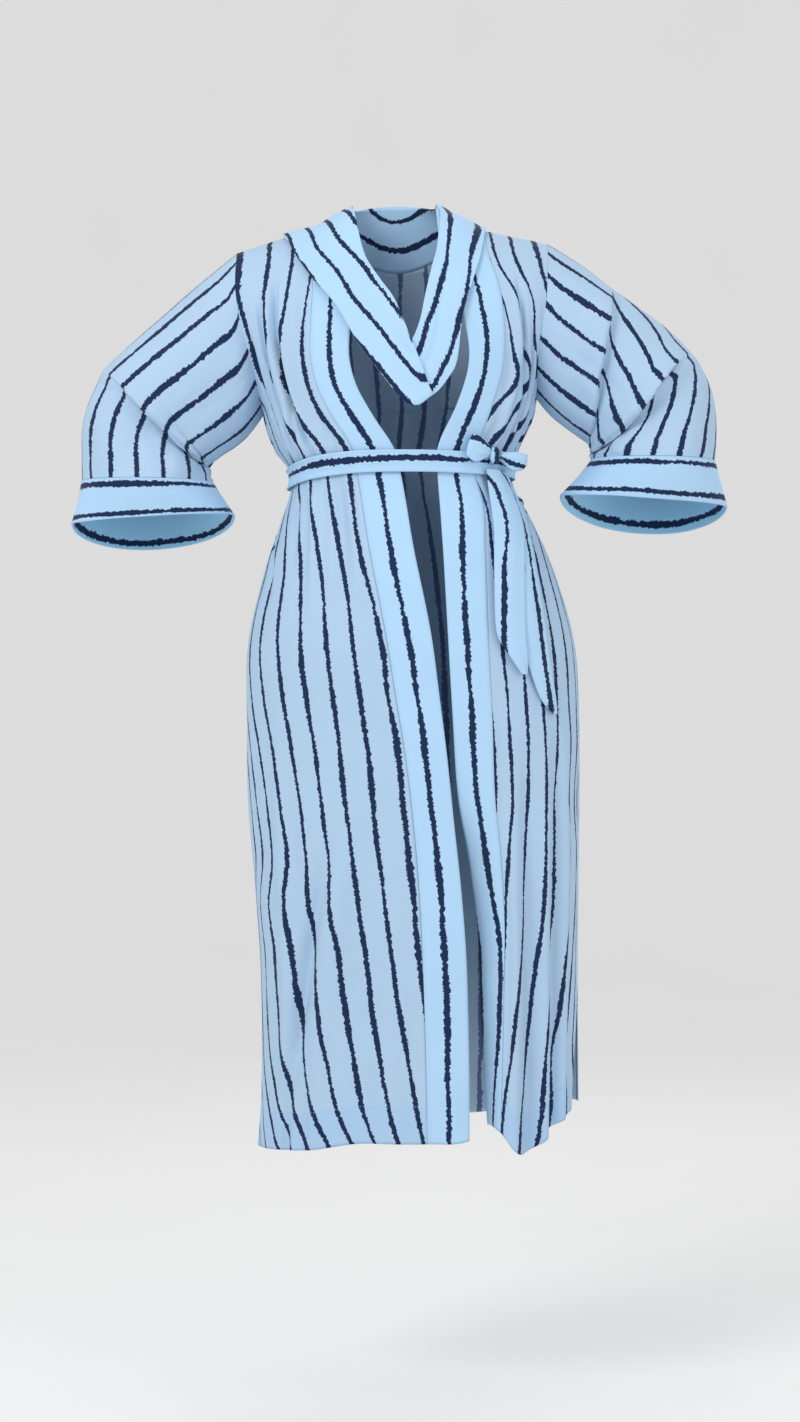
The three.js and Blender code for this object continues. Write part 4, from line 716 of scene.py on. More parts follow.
def back_top(j, columns):
    """The back's top edge: x and turn, along the shoulders and round the neck seam."""
    shoulder = columns // 4
    neck_right, neck_left = NECK_CENTRE - NECK_HALF, NECK_CENTRE + NECK_HALF
    around = np.clip((j - shoulder) / (columns - 1 - 2 * shoulder), 0, 1) * math.pi
    x = NECK_CENTRE - NECK_HALF * np.cos(around)
    before, after = j / shoulder, (columns - 1 - j) / shoulder
    x = np.where(j < shoulder, mix(SHOULDER["x"][0], neck_right, before), x)
    x = np.where(j > columns - 1 - shoulder, mix(SHOULDER["x"][-1], neck_left, after), x)
    turn = neck_turn(x, NECK_DEPTH * np.sin(around))
    return x, np.where((around > 0) & (around < math.pi), turn, 0.0)


def neck_turn(x, y):
    """The turn at which the back of the skin lies at a depth, by halving."""
    low, high = np.zeros_like(x), np.ones_like(x)
    for _ in range(30):
        middle = (low + high) / 2
        short = dome_point(x, middle)[..., 1] < y
        low, high = np.where(short, middle, low), np.where(short, high, middle)
    return (low + high) / 2


def back_sheet(seed):
    """The back: columns from the wearer's right side round to the left, below shoulders and neck seam."""
    columns, upper, lower = BACK_GRID
    _turn, share = body_rows(upper, lower)
    steps = np.concatenate((np.linspace(0, 1, upper + 1), np.ones(lower)))[:, None]
    j = np.arange(columns, dtype=float)
    x, top = back_top(j, columns)
    side = np.where(j < columns / 2, -1.0, 1.0)[None, :]
    started = np.sin(HALF_PI * mix(np.arcsin(top)[None, :] / HALF_PI, 1.0, steps))
    own = np.sin(HALF_PI * steps)
    low = row_height(own, share, side * SIDE_X, HEM_BACK)
    edge = section(own, share, side, low)[4] + SLIT_BACK * smooth((SLIT_TOP - low) / (SLIT_TOP - HEM))
    even = mix(edge, HALF_PI, 1 - np.abs(1 - 2 * j[None, :] / (columns - 1)))
    along_top = angle_at(started, np.zeros_like(started), side, x[None, :], HEM_BACK)
    angle = np.where(share > 0, even, mix(along_top, even, smooth(steps)))
    angle[:, 0], angle[:, -1] = edge[:, 0], edge[:, -1]
    base = skin_point(started, share, 1, side, angle, HEM_BACK)
    base[..., 1] += SEAM / 2
    across = lengths_across(base)
    middle = across - across[:, columns // 2:columns // 2 + 1]
    u = flat_place(GRAIN_BACK, base[..., 2], middle)
    flat = np.stack((u, lengths_down(base)), -1)
    relief = fold_relief(FOLDS_BACK, started, share, 1, side, angle, base, HEM_BACK) * BACK_DEEPER
    calm = seam_calm(columns)[None, :] * smooth(np.arange(len(base)) / 14.0)[:, None]
    relief = (relief + cloth_relief(base, u, seed)) * calm
    return raised(base, relief), flat


def neck_stand(x, z):
    """Height by which the bands stand beside the neck: most at their edge, none at their seam."""
    seam = NECK_HALF + np.sign(x) * NECK_CENTRE
    to_edge = np.clip((seam - np.abs(x)) / (seam - EDGE_HALF), 0, 1)
    return NECK_STAND * to_edge * (1 - smooth(-z / 50))


def band_sheet(side, bands, seed):
    """A front band: from its edge at the opening to its seam, on the skin, with its edge swung in."""
    _columns, upper, lower = FRONT_GRID
    turn, share = body_rows(upper, lower)
    to_edge = np.linspace(0, 1, BAND_ACROSS)[None, :]
    to_edge = to_edge if side > 0 else 1 - to_edge
    z = row_height(turn, share, side * EDGE_GUESS, HEM_FRONT) + 0 * to_edge
    for _ in range(3):
        seam = read(bands, "z", "seam", z) - side * SEAM / 2
        x = mix(seam, read(bands, "z", "edge", z), to_edge)
        z = row_height(turn, share, x, HEM_FRONT)
    own_side = np.where((share > 0) | (x > UPPER_CENTRE), 1.0, -1.0)
    angle = angle_at(turn, share, own_side, x, HEM_FRONT)
    points = skin_point(turn, share, -1, own_side, angle, HEM_FRONT)
    points[..., 1] += to_edge ** SWING_POWER * read(bands, "z", "swing", z) - SEAM / 2
    points[..., 2] += neck_stand(x, points[..., 2])
    flat = np.stack((lengths_across(points) - lengths_across(points)[:, -1:] / 2,
                     lengths_down(points)), -1)
    flat[..., 0] += 4.0 * ripple(points[..., 2] / 260.0, 0.5, seed + 5)
    flat[..., 0] += read(BAND_PRINT, "z", "left" if side > 0 else "right", points[..., 2])
    down = points[..., 2]
    wave = 1.3 * ripple(down / 85.0, 0.3, seed) + 0.5 * ripple(down / 34.0, to_edge * 1.5, seed + 1)
    calm = smooth(to_edge / 0.35) * smooth(np.abs(waist_gap(points)) - 0.45)
    return raised(points, wave * calm), flat


def neck_sheet():
    """The neck band: from its standing edge down to the back's neck seam, round the back of the neck."""
    columns, rows = NECK_GRID
    to_seam = np.linspace(0, 1, rows)[:, None, None]
    around = np.linspace(0, math.pi, columns)
    x = NECK_CENTRE - NECK_HALF * np.cos(around)
    seam = dome_point(x, neck_turn(x, NECK_DEPTH * np.sin(around)))
    edge_x = -EDGE_HALF * np.cos(around)
    height = shoulder_height(edge_x) + NECK_STAND + NECK_STAND_BACK * np.sin(around) ** 2 * 0.5
    edge = np.stack((edge_x, EDGE_DEPTH * np.sin(around), height), -1)
    points = mix(edge[None], seam[None], to_seam)
    points[..., 1] += SEAM / 2
    flat = np.stack((lengths_down(points) - 30, lengths_across(points)), -1)
    return points, flat


# ---------------------------------------------------------------- sleeves and cuffs

def armhole_ring(side, count):
    """The armhole's loop, from the shoulder round: the front and back panels' edges."""
    angle = round_angles(count)
    step = 1 - np.abs(1 - angle / math.pi)
    turn = np.sin(HALF_PI * step)
    zero = np.zeros_like(turn)
    edge = np.arcsin(armhole_share(turn) ** (POWER / 2))
    in_front = side * np.sin(angle) > 0
    front = skin_point(turn, zero, -1, float(side), edge, HEM_FRONT)
    back = skin_point(turn, zero, 1, float(side), edge, HEM_BACK)
    return np.where(in_front[:, None], front, back)


def tube_rings(rings, side, count):
    """Rings of a sleeve: ellipses between outer and inner edges, whose back half hangs lower."""
    angle = round_angles(count)
    frontness = side * np.sin(angle)
    along = (1 + np.cos(angle)) / 2
    column = {name: values[:, None] for name, values in rings.items()}
    depth = np.where(frontness > 0, column["front"], column["back"])
    return np.stack((
        mix(column["in_x"], column["out_x"], along),
        -depth * frontness,
        mix(column["in_z"], column["out_z"], along) + column["tilt"] * np.minimum(frontness, 0),
    ), -1)


def tube_base(rings, side, first, count, rows):
    """Rows of points through the rings. The first ring is given, and the first row stands SEAM off it."""
    stations = tube_rings(rings, side, count)
    stations[0] = first
    base = through(stations, np.linspace(0, 1, rows))
    outward = base[1] - base[0]
    base[0] += SEAM * outward / np.linalg.norm(outward, axis=-1, keepdims=True)
    return base


def step_place(outer, inner, turned):
    """Share of the sleeve's length at which a sharp fold crosses, with a slight wave."""
    return mix(outer, inner, (1 - np.cos(turned)) / 2) + 0.012 * np.sin(turned * 3 + 1)


def print_place(print_table, steps, share, turned, around):
    """The print round the sleeve: turned + fullness x stripes, with the fullness given back behind.

    In front, the length is measured so that the two sharp folds lie at 0.3 and 0.6 of it.
    """
    first, second = (step_place(steps["outer"][k], steps["inner"][k], turned) for k in print_folds(steps))
    length = np.where(share < first, 0.3 * share / first, 0.3 + 0.3 * (share - first) / (second - first))
    length = np.where(share < second, length, 0.6 + 0.4 * (share - second) / (1 - second))
    length = mix(share, length, smooth(np.sin(turned) / 0.2 + 1))
    shift = np.interp(length, print_table["share"], print_table["turned"])
    fullness = np.interp(length, print_table["share"], print_table["fullness"])
    from_top = np.minimum(around, STRIPES_ROUND - around)
    under = smooth((-np.sin(turned) - 0.05) / 0.9)
    behind = np.where(np.cos(turned) < 0, under, np.sin(turned) < 0)
    return around + shift + (fullness - 1) * from_top * (1 - behind)


def print_folds(steps):
    """The two sharp folds on the front, from the shoulder down."""
    return sorted((0, 1), key=lambda k: steps["outer"][k])


def step_relief(steps, share, turned):
    """Sharp folds: over exp(-d / 0.06) before the fold and tuck exp(-d / fall) behind it."""
    total = np.zeros(np.broadcast(share, turned).shape)
    for outer, inner, over, tuck, fall, centre, reach in zip(*steps.values()):
        beyond = share - step_place(outer, inner, turned)
        window = smooth((reach - np.abs(turned - centre)) / (0.6 * reach))
        profile = np.where(beyond < 0, over * np.exp(beyond / 0.06), tuck * np.exp(-beyond / fall))
        total += window * profile
    return total


def sleeve_relief(folds, share, turned, seed):
    """The sleeve's folds along it, creases that fan from the crook of the elbow, and a light crumple."""
    total = np.zeros(np.broadcast(share, turned).shape)
    for fold in rows_of(folds):
        along = (share - fold["start"]) / (fold["stop"] - fold["start"])
        t = (turned - mix(fold["a0"], fold["a1"], along)) / fold["width"]
        inside = (along > 0) & (along < 1)
        total += np.where(inside, fold["depth"] * np.sin(math.pi * along) * np.exp(-t * t), 0)
    crook = np.exp(-((np.abs(turned) - math.pi) / 0.9) ** 2) * smooth((share - 0.15) / 0.3)
    crook = crook * (1 - smooth((share - 0.8) / 0.2))
    total += 2.4 * crook * ripple(share * 16, turned * 1.2, seed)
    around = np.cos(turned) * 3 + 7
    total += 1.3 * smooth(share / 0.2) * ripple(around * 1.3 + np.sin(turned) * 3, share * 3.5, seed + 1)
    total += 0.5 * ripple(around * 5 + np.sin(turned) * 9, share * 10, seed + 2)
    return total * smooth(share / 0.06)


def sleeve_sheet(side, rings, folds, steps, print_table, seed):
    """A sleeve: rings from the armhole to the cuff, folded, with the print turned at the sharp folds."""
    count, rows = SLEEVE_GRID
    base = tube_base(rings, side, armhole_ring(side, count), count, rows)
    share = np.linspace(0, 1, rows)[:, None]
    angle = round_angles(count)
    turned = side * np.where(angle > math.pi, angle - 2 * math.pi, angle)
    relief = sleeve_relief(folds, share, turned[None, :], seed) + step_relief(steps, share, turned[None, :])
    relief *= 1 - smooth((share - 0.93) / 0.07) * 0.8
    points = raised(base, relief, closed=True)
    pitch = bpy.context.scene.kimono_sizes.pitch / MM
    around = np.linspace(0, 1, count + 1)[None, :] * STRIPES_ROUND
    closed = np.append(turned, turned[0])[None, :]
    wide = (print_place(print_table, steps, share, closed, around) + 0.5) * pitch
    return points, flat_map(wide, 300 * share)


def cuff_sheet(side, rings, last_ring, seed):
    """A cuff: rings from the sleeve's last one to its edge, waved a little towards the edge."""
    count, rows = CUFF_GRID
    base = tube_base(rings, side, last_ring, count, rows)
    share = np.linspace(0, 1, rows)
    angle = round_angles(count, closing=1)
    wave = 1.6 * ripple(np.cos(angle) * 2 + 9, np.sin(angle) * 2 + 9, seed)
    points = raised(base, share[:, None] * wave[None, :-1], closed=True)
    length = lengths_down(base)[0, 0]
    down = share[:, None] * length - 11.0
    return points, flat_map(down, 95 * angle)


# ---------------------------------------------------------------- collar, belt and bow

def drape_sheet(seed):
    """The draped collar: stations round the neck, inner to outer edge, on the skin and lifted off it.

    At the crossing the right end lies on the left one: a step that dies away exponentially behind it.
    """
    count, rows = DRAPE_GRID
    share = np.linspace(0, 1, count + 1)
    loop = {name: values[:-1] for name, values in DRAPE.items()}
    columns = {name: through(values, share[:-1], closed=True)[None, :] for name, values in loop.items()}
    slide, stretch = (through(DRAPE[name], share)[None, :] for name in ("slide", "stretch"))
    out = np.linspace(0, 1, rows)[:, None]
    x = mix(columns["in_x"], columns["out_x"], out)
    turn = mix(columns["in_turn"], columns["out_turn"], out)
    base = dome_point(x, turn)
    base[..., 2] += neck_stand(x, base[..., 2]) * np.clip(1 - turn / 0.3, 0, 1)
    base[..., 2] += columns["in_rise"] * (1 - out) ** 1.5
    around = 2 * math.pi * share[None, :-1]
    front = smooth(-turn / 0.5)
    lift = mix(columns["in_lift"], columns["out_lift"], out)
    lift = lift + front * 1.7 * ripple(np.cos(around) * 2.2 + 9, np.sin(around) * 2.2 + out * 2.4 + 9, seed)
    lift = lift + 0.5 * ripple(np.cos(around) * 6 + 9, np.sin(around) * 6 + out * 4 + 9, seed + 1)
    lift = lift + 4.2 * np.exp(-share[None, :-1] * 24) - 2.2 * np.exp(-(1 - share[None, :-1]) * 40)
    lift = lift + cowl_relief(share[None, :-1], out)
    points = raised(base, lift, closed=True)
    width = lengths_down(points)
    width = width[:1] - width
    width = np.concatenate((width, width[:, :1]), 1)
    rolled = 9.0 * smooth((0.115 - share[None, :]) / 0.06) * np.exp(-width / 12.0)
    across = stretch * width - slide + rolled
    return points, flat_map(across, 850 * share)


def cowl_relief(share, out):
    """Soft folds that run down both ends of the collar into its lowest point."""
    right = np.exp(-((out - 0.30 - 1.2 * share) / 0.09) ** 2) * smooth((0.20 - share) / 0.12)
    left = np.exp(-((out - 0.55 + 0.9 * (1 - share)) / 0.1) ** 2) * smooth((share - 0.80) / 0.1)
    edge = np.exp(-((out - 0.93) / 0.05) ** 2) * smooth((0.16 - share) / 0.1)
    return -2.0 * right - 2.0 * left + 1.6 * edge


def belt_sheet(seed):
    """The belt: the waist's section moved out, with shallow lengthwise creases."""
    count, rows = BELT_GRID
    angle = round_angles(count)
    down = np.linspace(0.5, -0.5, rows)[:, None]
    z = belt_height(angle) + BELT_WIDTH * down
    right, left = read(BODY, "z", "right", z), read(BODY, "z", "left", z)
    depth = np.where(np.sin(angle) > 0, read(BODY, "z", "front", z), read(BODY, "z", "back", z))
    x = (left + right) / 2 + (left - right) / 2 * signed_power(np.cos(angle), 2 / POWER)
    y = -depth * signed_power(np.sin(angle), 2 / POWER)
    base = np.stack((x, y, z), -1)
    crease = 0.5 * ripple(np.cos(angle) * 5 + 9, np.sin(angle) * 5 + down * 3 + 9, seed)
    points = raised(base, BELT_LIFT + crease + 0.35 * np.cos(down * 2 * math.pi * 1.5), closed=True)
    return points, flat_map((0.5 - down) * BELT_WIDTH - 10.5, 128 * round_angles(count, closing=1))


def tail_sheet(rows_table, seed, first_stripe):
    """A belt tail: on the front of the skin between its two edges, lifted, with a soft lengthwise roll."""
    across, down = TAIL_GRID
    share = np.linspace(0, 1, down)
    columns = {name: through(values, share)[:, None] for name, values in rows_table.items()}
    t = np.linspace(0, 1, across)[None, :]
    x = mix(columns["right_x"], columns["left_x"], t)
    z = mix(columns["right_z"], columns["left_z"], t)
    base = front_point(x, z)
    begun = smooth(share[:, None] / 0.15)
    roll = 1.2 * begun * (np.cos((t - 0.5) * 2 * math.pi) - 0.5)
    roll = roll + 0.8 * begun * ripple(share[:, None] * 7, t * 1.2, seed)
    points = raised(base, columns["lift"] + roll)
    return points, flat_map(lengths_across(points) - first_stripe, 300 * share[:, None])


def loop_sheet(k):
    """A bow loop: a strip that runs out behind, turns round at its end and comes back in front."""
    loop = rows_of(LOOPS)[k]
    count, rows = LOOP_GRID
    reach = np.array((loop["to_x"] - loop["x"], loop["to_z"] - loop["z"]))
    length = np.linalg.norm(reach)
    reach = reach / length
    radius = loop["spread"] / 2
    straight = length - radius
    total = 2 * straight + math.pi * radius
    gone = np.linspace(0, total, count)[None, :]
    bend = np.clip((gone - straight) / radius, 0, math.pi)
    along = np.where(gone < straight, gone, np.where(gone > total - straight, total - gone,
                                                     straight + radius * np.sin(bend)))
    side = (np.linspace(0, 1, rows)[:, None] - 0.5) * loop["width"]
    level = 2 * side / loop["width"]
    puff = (0.55 + 0.75 * np.sin(math.pi * np.clip(along / length, 0, 1) ** 0.8)) * (1 - 0.35 * level ** 2)
    forward = -radius * np.cos(bend) * puff
    narrow = mix(0.5, 1.0, smooth(along / (length * 0.7)))
    pinch = 1 - smooth(along / (length * 0.8))
    pucker = 1.3 * np.cos(level * 2.6 * math.pi + 0.6) * pinch + 0.7 * ripple(level * 1.4, gone / 9.0, 5 + k)
    along = along + 2.5 * (1 - level ** 2) * smooth(along / length)
    x = loop["x"] + reach[0] * along - reach[1] * side * narrow
    sag = 0.62 + 0.38 * np.sin(math.pi * np.clip(along / length, 0, 1))
    hang = np.where(level * reach[0] < 0, sag, 1.0)
    z = loop["z"] + reach[1] * along + reach[0] * side * narrow * hang
    y = mix(loop["y"], loop["to_y"], along / length) - forward + pucker
    points = np.stack(np.broadcast_arrays(x, y, z), -1)
    return points, flat_map(side - loop["stripe"], gone)


def knot_sheet():
    """The knot: a superellipsoid between two poles, sheared along the waist, with wrapped cloth ridges."""
    around, rings = KNOT_GRID
    polar = np.linspace(0.03, math.pi - 0.03, rings)[:, None]
    angle = round_angles(around)
    girth = np.sin(polar) ** 0.8
    ridge = 1 + 0.05 * np.cos(polar * 9 + np.sin(angle) * 1.5) * np.sin(polar)
    out = KNOT_HALF[0] * signed_power(np.cos(polar), 0.8)
    x = KNOT[0] + out + 0 * angle
    y = KNOT[1] + KNOT_SLOPE * out + KNOT_HALF[1] * girth * ridge * signed_power(np.sin(angle), 0.9)
    z = KNOT[2] + KNOT_HALF[2] * girth * ridge * signed_power(np.cos(angle), 0.9)
    points = np.stack((x, y, z), -1)
    return points, flat_map(out - 3, KNOT_HALF[2] * round_angles(around, closing=1))


# ---------------------------------------------------------------- stitching

def stitch_object(name, runs, length):
    """Topstitching: along each run of points, stretched eight-sided beads a stitch long with short gaps.

    A run is (path, normals): the beads lie on the path, pointing along it, and are flattened outwards.
    """
    beads = []
    gap = length * 0.35
    for path, out in runs:
        steps = np.linalg.norm(np.diff(path, axis=0), axis=1)
        gone = np.concatenate(([0.0], np.cumsum(steps)))
        starts = np.arange(length, gone[-1] - length, length + gap)
        place = lambda at, values: np.stack([np.interp(at, gone, values[:, k]) for k in range(3)], -1)
        centre = place(starts, path)
        along = place(starts + length / 2, path) - place(starts - length / 2, path)
        along /= np.maximum(np.linalg.norm(along, axis=1, keepdims=True), 1e-9)
        up = place(starts, out)
        up /= np.maximum(np.linalg.norm(up, axis=1, keepdims=True), 1e-9)
        beside = np.cross(along, up)
        thick = 0.28
        beads.append(np.stack((
            centre - along * length / 2, centre + along * length / 2,
            centre + up * thick, centre + beside * thick,
            centre - up * thick, centre - beside * thick), 1))
    points = np.concatenate(beads)
    faces = np.array([(0, 2, 3), (0, 3, 4), (0, 4, 5), (0, 5, 2),
                      (1, 3, 2), (1, 4, 3), (1, 5, 4), (1, 2, 5)])
    index = (faces[None] + 6 * np.arange(len(points))[:, None, None]).reshape(-1, 3)
    mesh = bpy.data.meshes.new(name)
    mesh.from_pydata((points.reshape(-1, 3) * MM).tolist(), [], index.tolist())
    mesh.update()
    mesh.materials.append(material_named("polyester thread"))
    piece = add_object(name, mesh)
    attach(piece, "root")
    return piece


# ---------------------------------------------------------------- materials

def linear(hex_colour):
    """sRGB hex to linear red, green, blue and alpha."""
    parts = [int(hex_colour[i:i + 2], 16) / 255 for i in (1, 3, 5)]
    return tuple(c / 12.92 if c <= 0.04045 else ((c + 0.055) / 1.055) ** 2.4 for c in parts) + (1.0,)


def add_node(tree, kind, inputs=None, **settings):
    """Adds a node: settings are its properties, inputs are values, sockets, or nodes to link in."""
    node = tree.nodes.new(kind)
    for name, value in settings.items():
        setattr(node, name, value)
    for key, value in (inputs or {}).items():
        if isinstance(value, bpy.types.Node):
            value = value.outputs[0]
        if isinstance(value, bpy.types.NodeSocket):
            tree.links.new(value, node.inputs[key])
        else:
            node.inputs[key].default_value = value
    return node


MATH, NOISE, COMBINE = "ShaderNodeMath", "ShaderNodeTexNoise", "ShaderNodeCombineXYZ"
MIX, RANGE = "ShaderNodeMix", "ShaderNodeMapRange"
# Ragged edges of a stripe: length of each kind of tooth along it in metres, its reach, its fineness.
EDGE_TEETH = ((0.06, 0.0022, 0.0), (0.010, 0.0014, 1.0), (0.0034, 0.0020, 1.0))
# Numbers that set each edge of each stripe on a line of its own in the noise.
STRIPE_SEED, EDGE_SEED = 5.3, 1.7


def striped_crepe(name, ground, hem_ground, stripe, roughness):
    """Printed polyester crepe, plain-woven from hard-twisted yarn: matt, faintly pebbled, a soft sheen.

    The stripes lie at multiples of the pitch across the flat map. Each is half its width plus ragged
    noise on both edges, as from a dry brush: a slow change of width, a coarse and a fine tooth, and thin
    bristle marks beside the edge. Cloth within the hem's depth of the lower edge is doubled.
    """
    sizes = bpy.context.scene.kimono_sizes
    material = bpy.data.materials.new(name)
    material.use_nodes = True
    tree = material.node_tree
    shader = tree.nodes["Principled BSDF"]
    flat = add_node(tree, "ShaderNodeUVMap", uv_map="flat")
    across, along, _height = add_node(tree, "ShaderNodeSeparateXYZ", {0: flat}).outputs
    cell = add_node(tree, MATH, {0: across, 1: sizes.pitch}, operation="DIVIDE")
    number = add_node(tree, MATH, {0: cell}, operation="ROUND")
    from_middle = add_node(tree, MATH, {0: cell, 1: number}, operation="SUBTRACT")
    off = add_node(tree, MATH, {0: from_middle, 1: sizes.pitch}, operation="MULTIPLY")
    away = add_node(tree, MATH, {0: off}, operation="ABSOLUTE")
    edge_side = add_node(tree, MATH, {0: off}, operation="SIGN")
    stripe_seed = add_node(tree, MATH, {0: number, 1: STRIPE_SEED}, operation="MULTIPLY")
    edge_seed = add_node(tree, MATH, {0: edge_side, 1: EDGE_SEED}, operation="MULTIPLY")
    seed = add_node(tree, MATH, {0: stripe_seed, 1: edge_seed}, operation="ADD")
    width = sizes.stripe_width / 2
    for tooth, reach, detail in EDGE_TEETH:
        down = add_node(tree, MATH, {0: along, 1: tooth}, operation="DIVIDE")
        place = add_node(tree, COMBINE, {0: down, 1: seed})
        noise = add_node(tree, NOISE, {"Vector": place, "Scale": 1.0, "Detail": detail, "Roughness": 0.6},
                         noise_dimensions="2D")
        centred = add_node(tree, MATH, {0: noise, 1: 0.5}, operation="SUBTRACT")
        ragged = add_node(tree, MATH, {0: centred, 1: 2 * reach}, operation="MULTIPLY")
        width = add_node(tree, MATH, {0: width, 1: ragged}, operation="ADD")
    # Bristle marks: noise drawn out along the stripe, 1 mm across and 5 mm long.
    fine = add_node(tree, MATH, {0: across, 1: 0.0011}, operation="DIVIDE")
    long = add_node(tree, MATH, {0: along, 1: 0.005}, operation="DIVIDE")
    drawn = add_node(tree, COMBINE, {0: fine, 1: long})
    bristle = add_node(tree, NOISE, {"Vector": drawn, "Scale": 1.0, "Detail": 2.0},
                       noise_dimensions="2D")
    centred = add_node(tree, MATH, {0: bristle, 1: 0.5}, operation="SUBTRACT")
    marks = add_node(tree, MATH, {0: centred, 1: 0.0034}, operation="MULTIPLY")
    marked = add_node(tree, MATH, {0: width, 1: marks}, operation="ADD")
    inside = add_node(tree, MATH, {0: marked, 1: away}, operation="SUBTRACT")
    ink = add_node(tree, RANGE, {"Value": inside, "From Min": -0.0002, "From Max": 0.0003}, clamp=True)

    # Slight unevenness of the dyed ground, over about 60 mm.
    coords = add_node(tree, "ShaderNodeTexCoord").outputs["Object"]
    cloudy = add_node(tree, NOISE, {"Vector": coords, "Scale": 16.0, "Detail": 2.0})
    uneven = add_node(tree, RANGE, {"Value": cloudy, "To Min": 0.97, "To Max": 1.03})
    doubled = add_node(tree, RANGE, {
        "Value": along, "From Min": sizes.hem_depth, "From Max": sizes.hem_depth - 0.0006}, clamp=True)
    dyed = add_node(tree, MIX, {0: doubled, 6: ground, 7: hem_ground}, data_type="RGBA").outputs[2]
    shaded = add_node(tree, "ShaderNodeHueSaturation", {"Value": uneven, "Color": dyed})
    final = add_node(tree, MIX, {0: ink, 6: shaded, 7: stripe}, data_type="RGBA")
    tree.links.new(final.outputs[2], shader.inputs["Base Color"])

    # Crepe's pebble, 0.5 mm on real cloth, drawn at 1.2 mm so that it shows.
    pebble = add_node(tree, NOISE, {"Vector": coords, "Scale": 820.0, "Detail": 1.0})
    bump = add_node(tree, "ShaderNodeBump", {"Strength": 0.12, "Distance": 0.0004, "Height": pebble})
    tree.links.new(bump.outputs[0], shader.inputs["Normal"])
    shader.inputs["Roughness"].default_value = roughness
    shader.inputs["IOR"].default_value = 1.46
    shader.inputs["Specular IOR Level"].default_value = 0.3
    shader.inputs["Sheen Weight"].default_value = 0.06
    shader.inputs["Sheen Roughness"].default_value = 0.5


def plain_material(name, colour, roughness):
    """A material of one plain colour with a faint cloudiness, for thread and for the studio's floor."""
    material = bpy.data.materials.new(name)
    material.use_nodes = True
    tree = material.node_tree
    shader = tree.nodes["Principled BSDF"]
    coords = add_node(tree, "ShaderNodeTexCoord").outputs["Object"]
    cloudy = add_node(tree, NOISE, {"Vector": coords, "Scale": 3.0, "Detail": 2.0})
    lighter = tuple(min(1, c * 1.03) for c in colour)
    colour_node = add_node(tree, MIX, {0: cloudy, 6: colour, 7: lighter}, data_type="RGBA")
    tree.links.new(colour_node.outputs[2], shader.inputs["Base Color"])
    shader.inputs["Roughness"].default_value = roughness
    shader.inputs["Specular IOR Level"].default_value = 0.2


# Each crepe's colours, of its ground, its doubled hem and its stripes, and its roughness.
CREPES = {
    "printed crepe": ("single", "hem", "navy", 0.78),
    "doubled crepe": ("doubled", "doubled", "navy", 0.78),
    "crepe reverse": ("reverse", "reverse", "reverse_navy", 0.85),
    # The cuffs' inner face has its ground painted brighter and bluer than the doubled crepe: painted light,
    # standing in for light that shines through the cuff into its shaded inside.
    "doubled crepe inside painted light": ("cuff_inside_painted_light", "cuff_inside_painted_light", "navy", 0.78),
}
PLAINS = {"polyester thread": ("thread", 0.5), "studio floor": ("floor", 0.9)}


def material_named(name):
    """A crepe or a plain material, made when it is first asked for."""
    if name not in bpy.data.materials:
        make, given = (striped_crepe, CREPES[name]) if name in CREPES else (plain_material, PLAINS[name])
        colours = bpy.context.scene.kimono_colours
        make(name, *((*getattr(colours, key), 1.0) for key in given[:-1]), given[-1])
    return bpy.data.materials[name]


# ---------------------------------------------------------------- sewing

SINGLE = ("printed crepe", "crepe reverse")
DOUBLED = ("doubled crepe",)
# The cuffs' inner face takes the crepe with painted light, a brighter and bluer ground that stands in for
# light shining through the cloth.
CUFF = ("doubled crepe", "doubled crepe inside painted light")
THREAD_LIFT = 0.1


def sew(node, shape, layers, closed=False, lines=(), thickness=None):
    """Makes a cut piece in its node's place: its sheet of cloth and its stitched lines.

    Layers are the cloth's face and, if it differs, its reverse. A line is a selection of the grid's
    points, with 1 where it is stitched on the face and -1 where it is stitched on the reverse.
    """
    sizes = bpy.context.scene.kimono_sizes
    thickness = thickness or (sizes.cloth if layers == SINGLE else sizes.doubled)
    points, flat = shape
    piece = grid_object(f"cloth_{node}", points, flat, closed)
    thicken(piece, thickness, [material_named(name) for name in layers])
    stitched = []
    if lines:
        lift = thickness / MM / 2 + THREAD_LIFT
        out = normals_of(points, closed)
        runs = [(points[line] + out[line] * lift * face, out[line]) for line, face in lines]
        stitched = [stitch_object(f"stitches_{node}", runs, sizes.stitch / MM)]
    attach(piece, "root")
    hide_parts(node)


# ---------------------------------------------------------------- properties

class KimonoSizes(PropertyGroup):
    """Sizes of the cloth and its print."""

    cloth: FloatProperty(
        name="Cloth", description="Thickness of a single layer", default=0.0010, unit="LENGTH")
    doubled: FloatProperty(
        name="Doubled cloth", description="Thickness of bands, cuffs, collar and belt", default=0.0019,
        unit="LENGTH")
    pitch: FloatProperty(
        name="Stripe pitch", description="Distance between the stripes", default=0.0385, unit="LENGTH")
    stripe_width: FloatProperty(
        name="Stripe width", description="Mean width of a stripe", default=0.0072, unit="LENGTH")
    hem_depth: FloatProperty(
        name="Hem depth", description="Depth of the turned hem", default=0.048, unit="LENGTH")
    stitch: FloatProperty(
        name="Stitch", description="Length of a stitch", default=0.0030, unit="LENGTH")


def colour(name, description, hex_colour):
    """A colour property whose default is an sRGB hex value."""
    return FloatVectorProperty(name=name, description=description, subtype="COLOR", min=0, max=1,
                               default=linear(hex_colour)[:3])


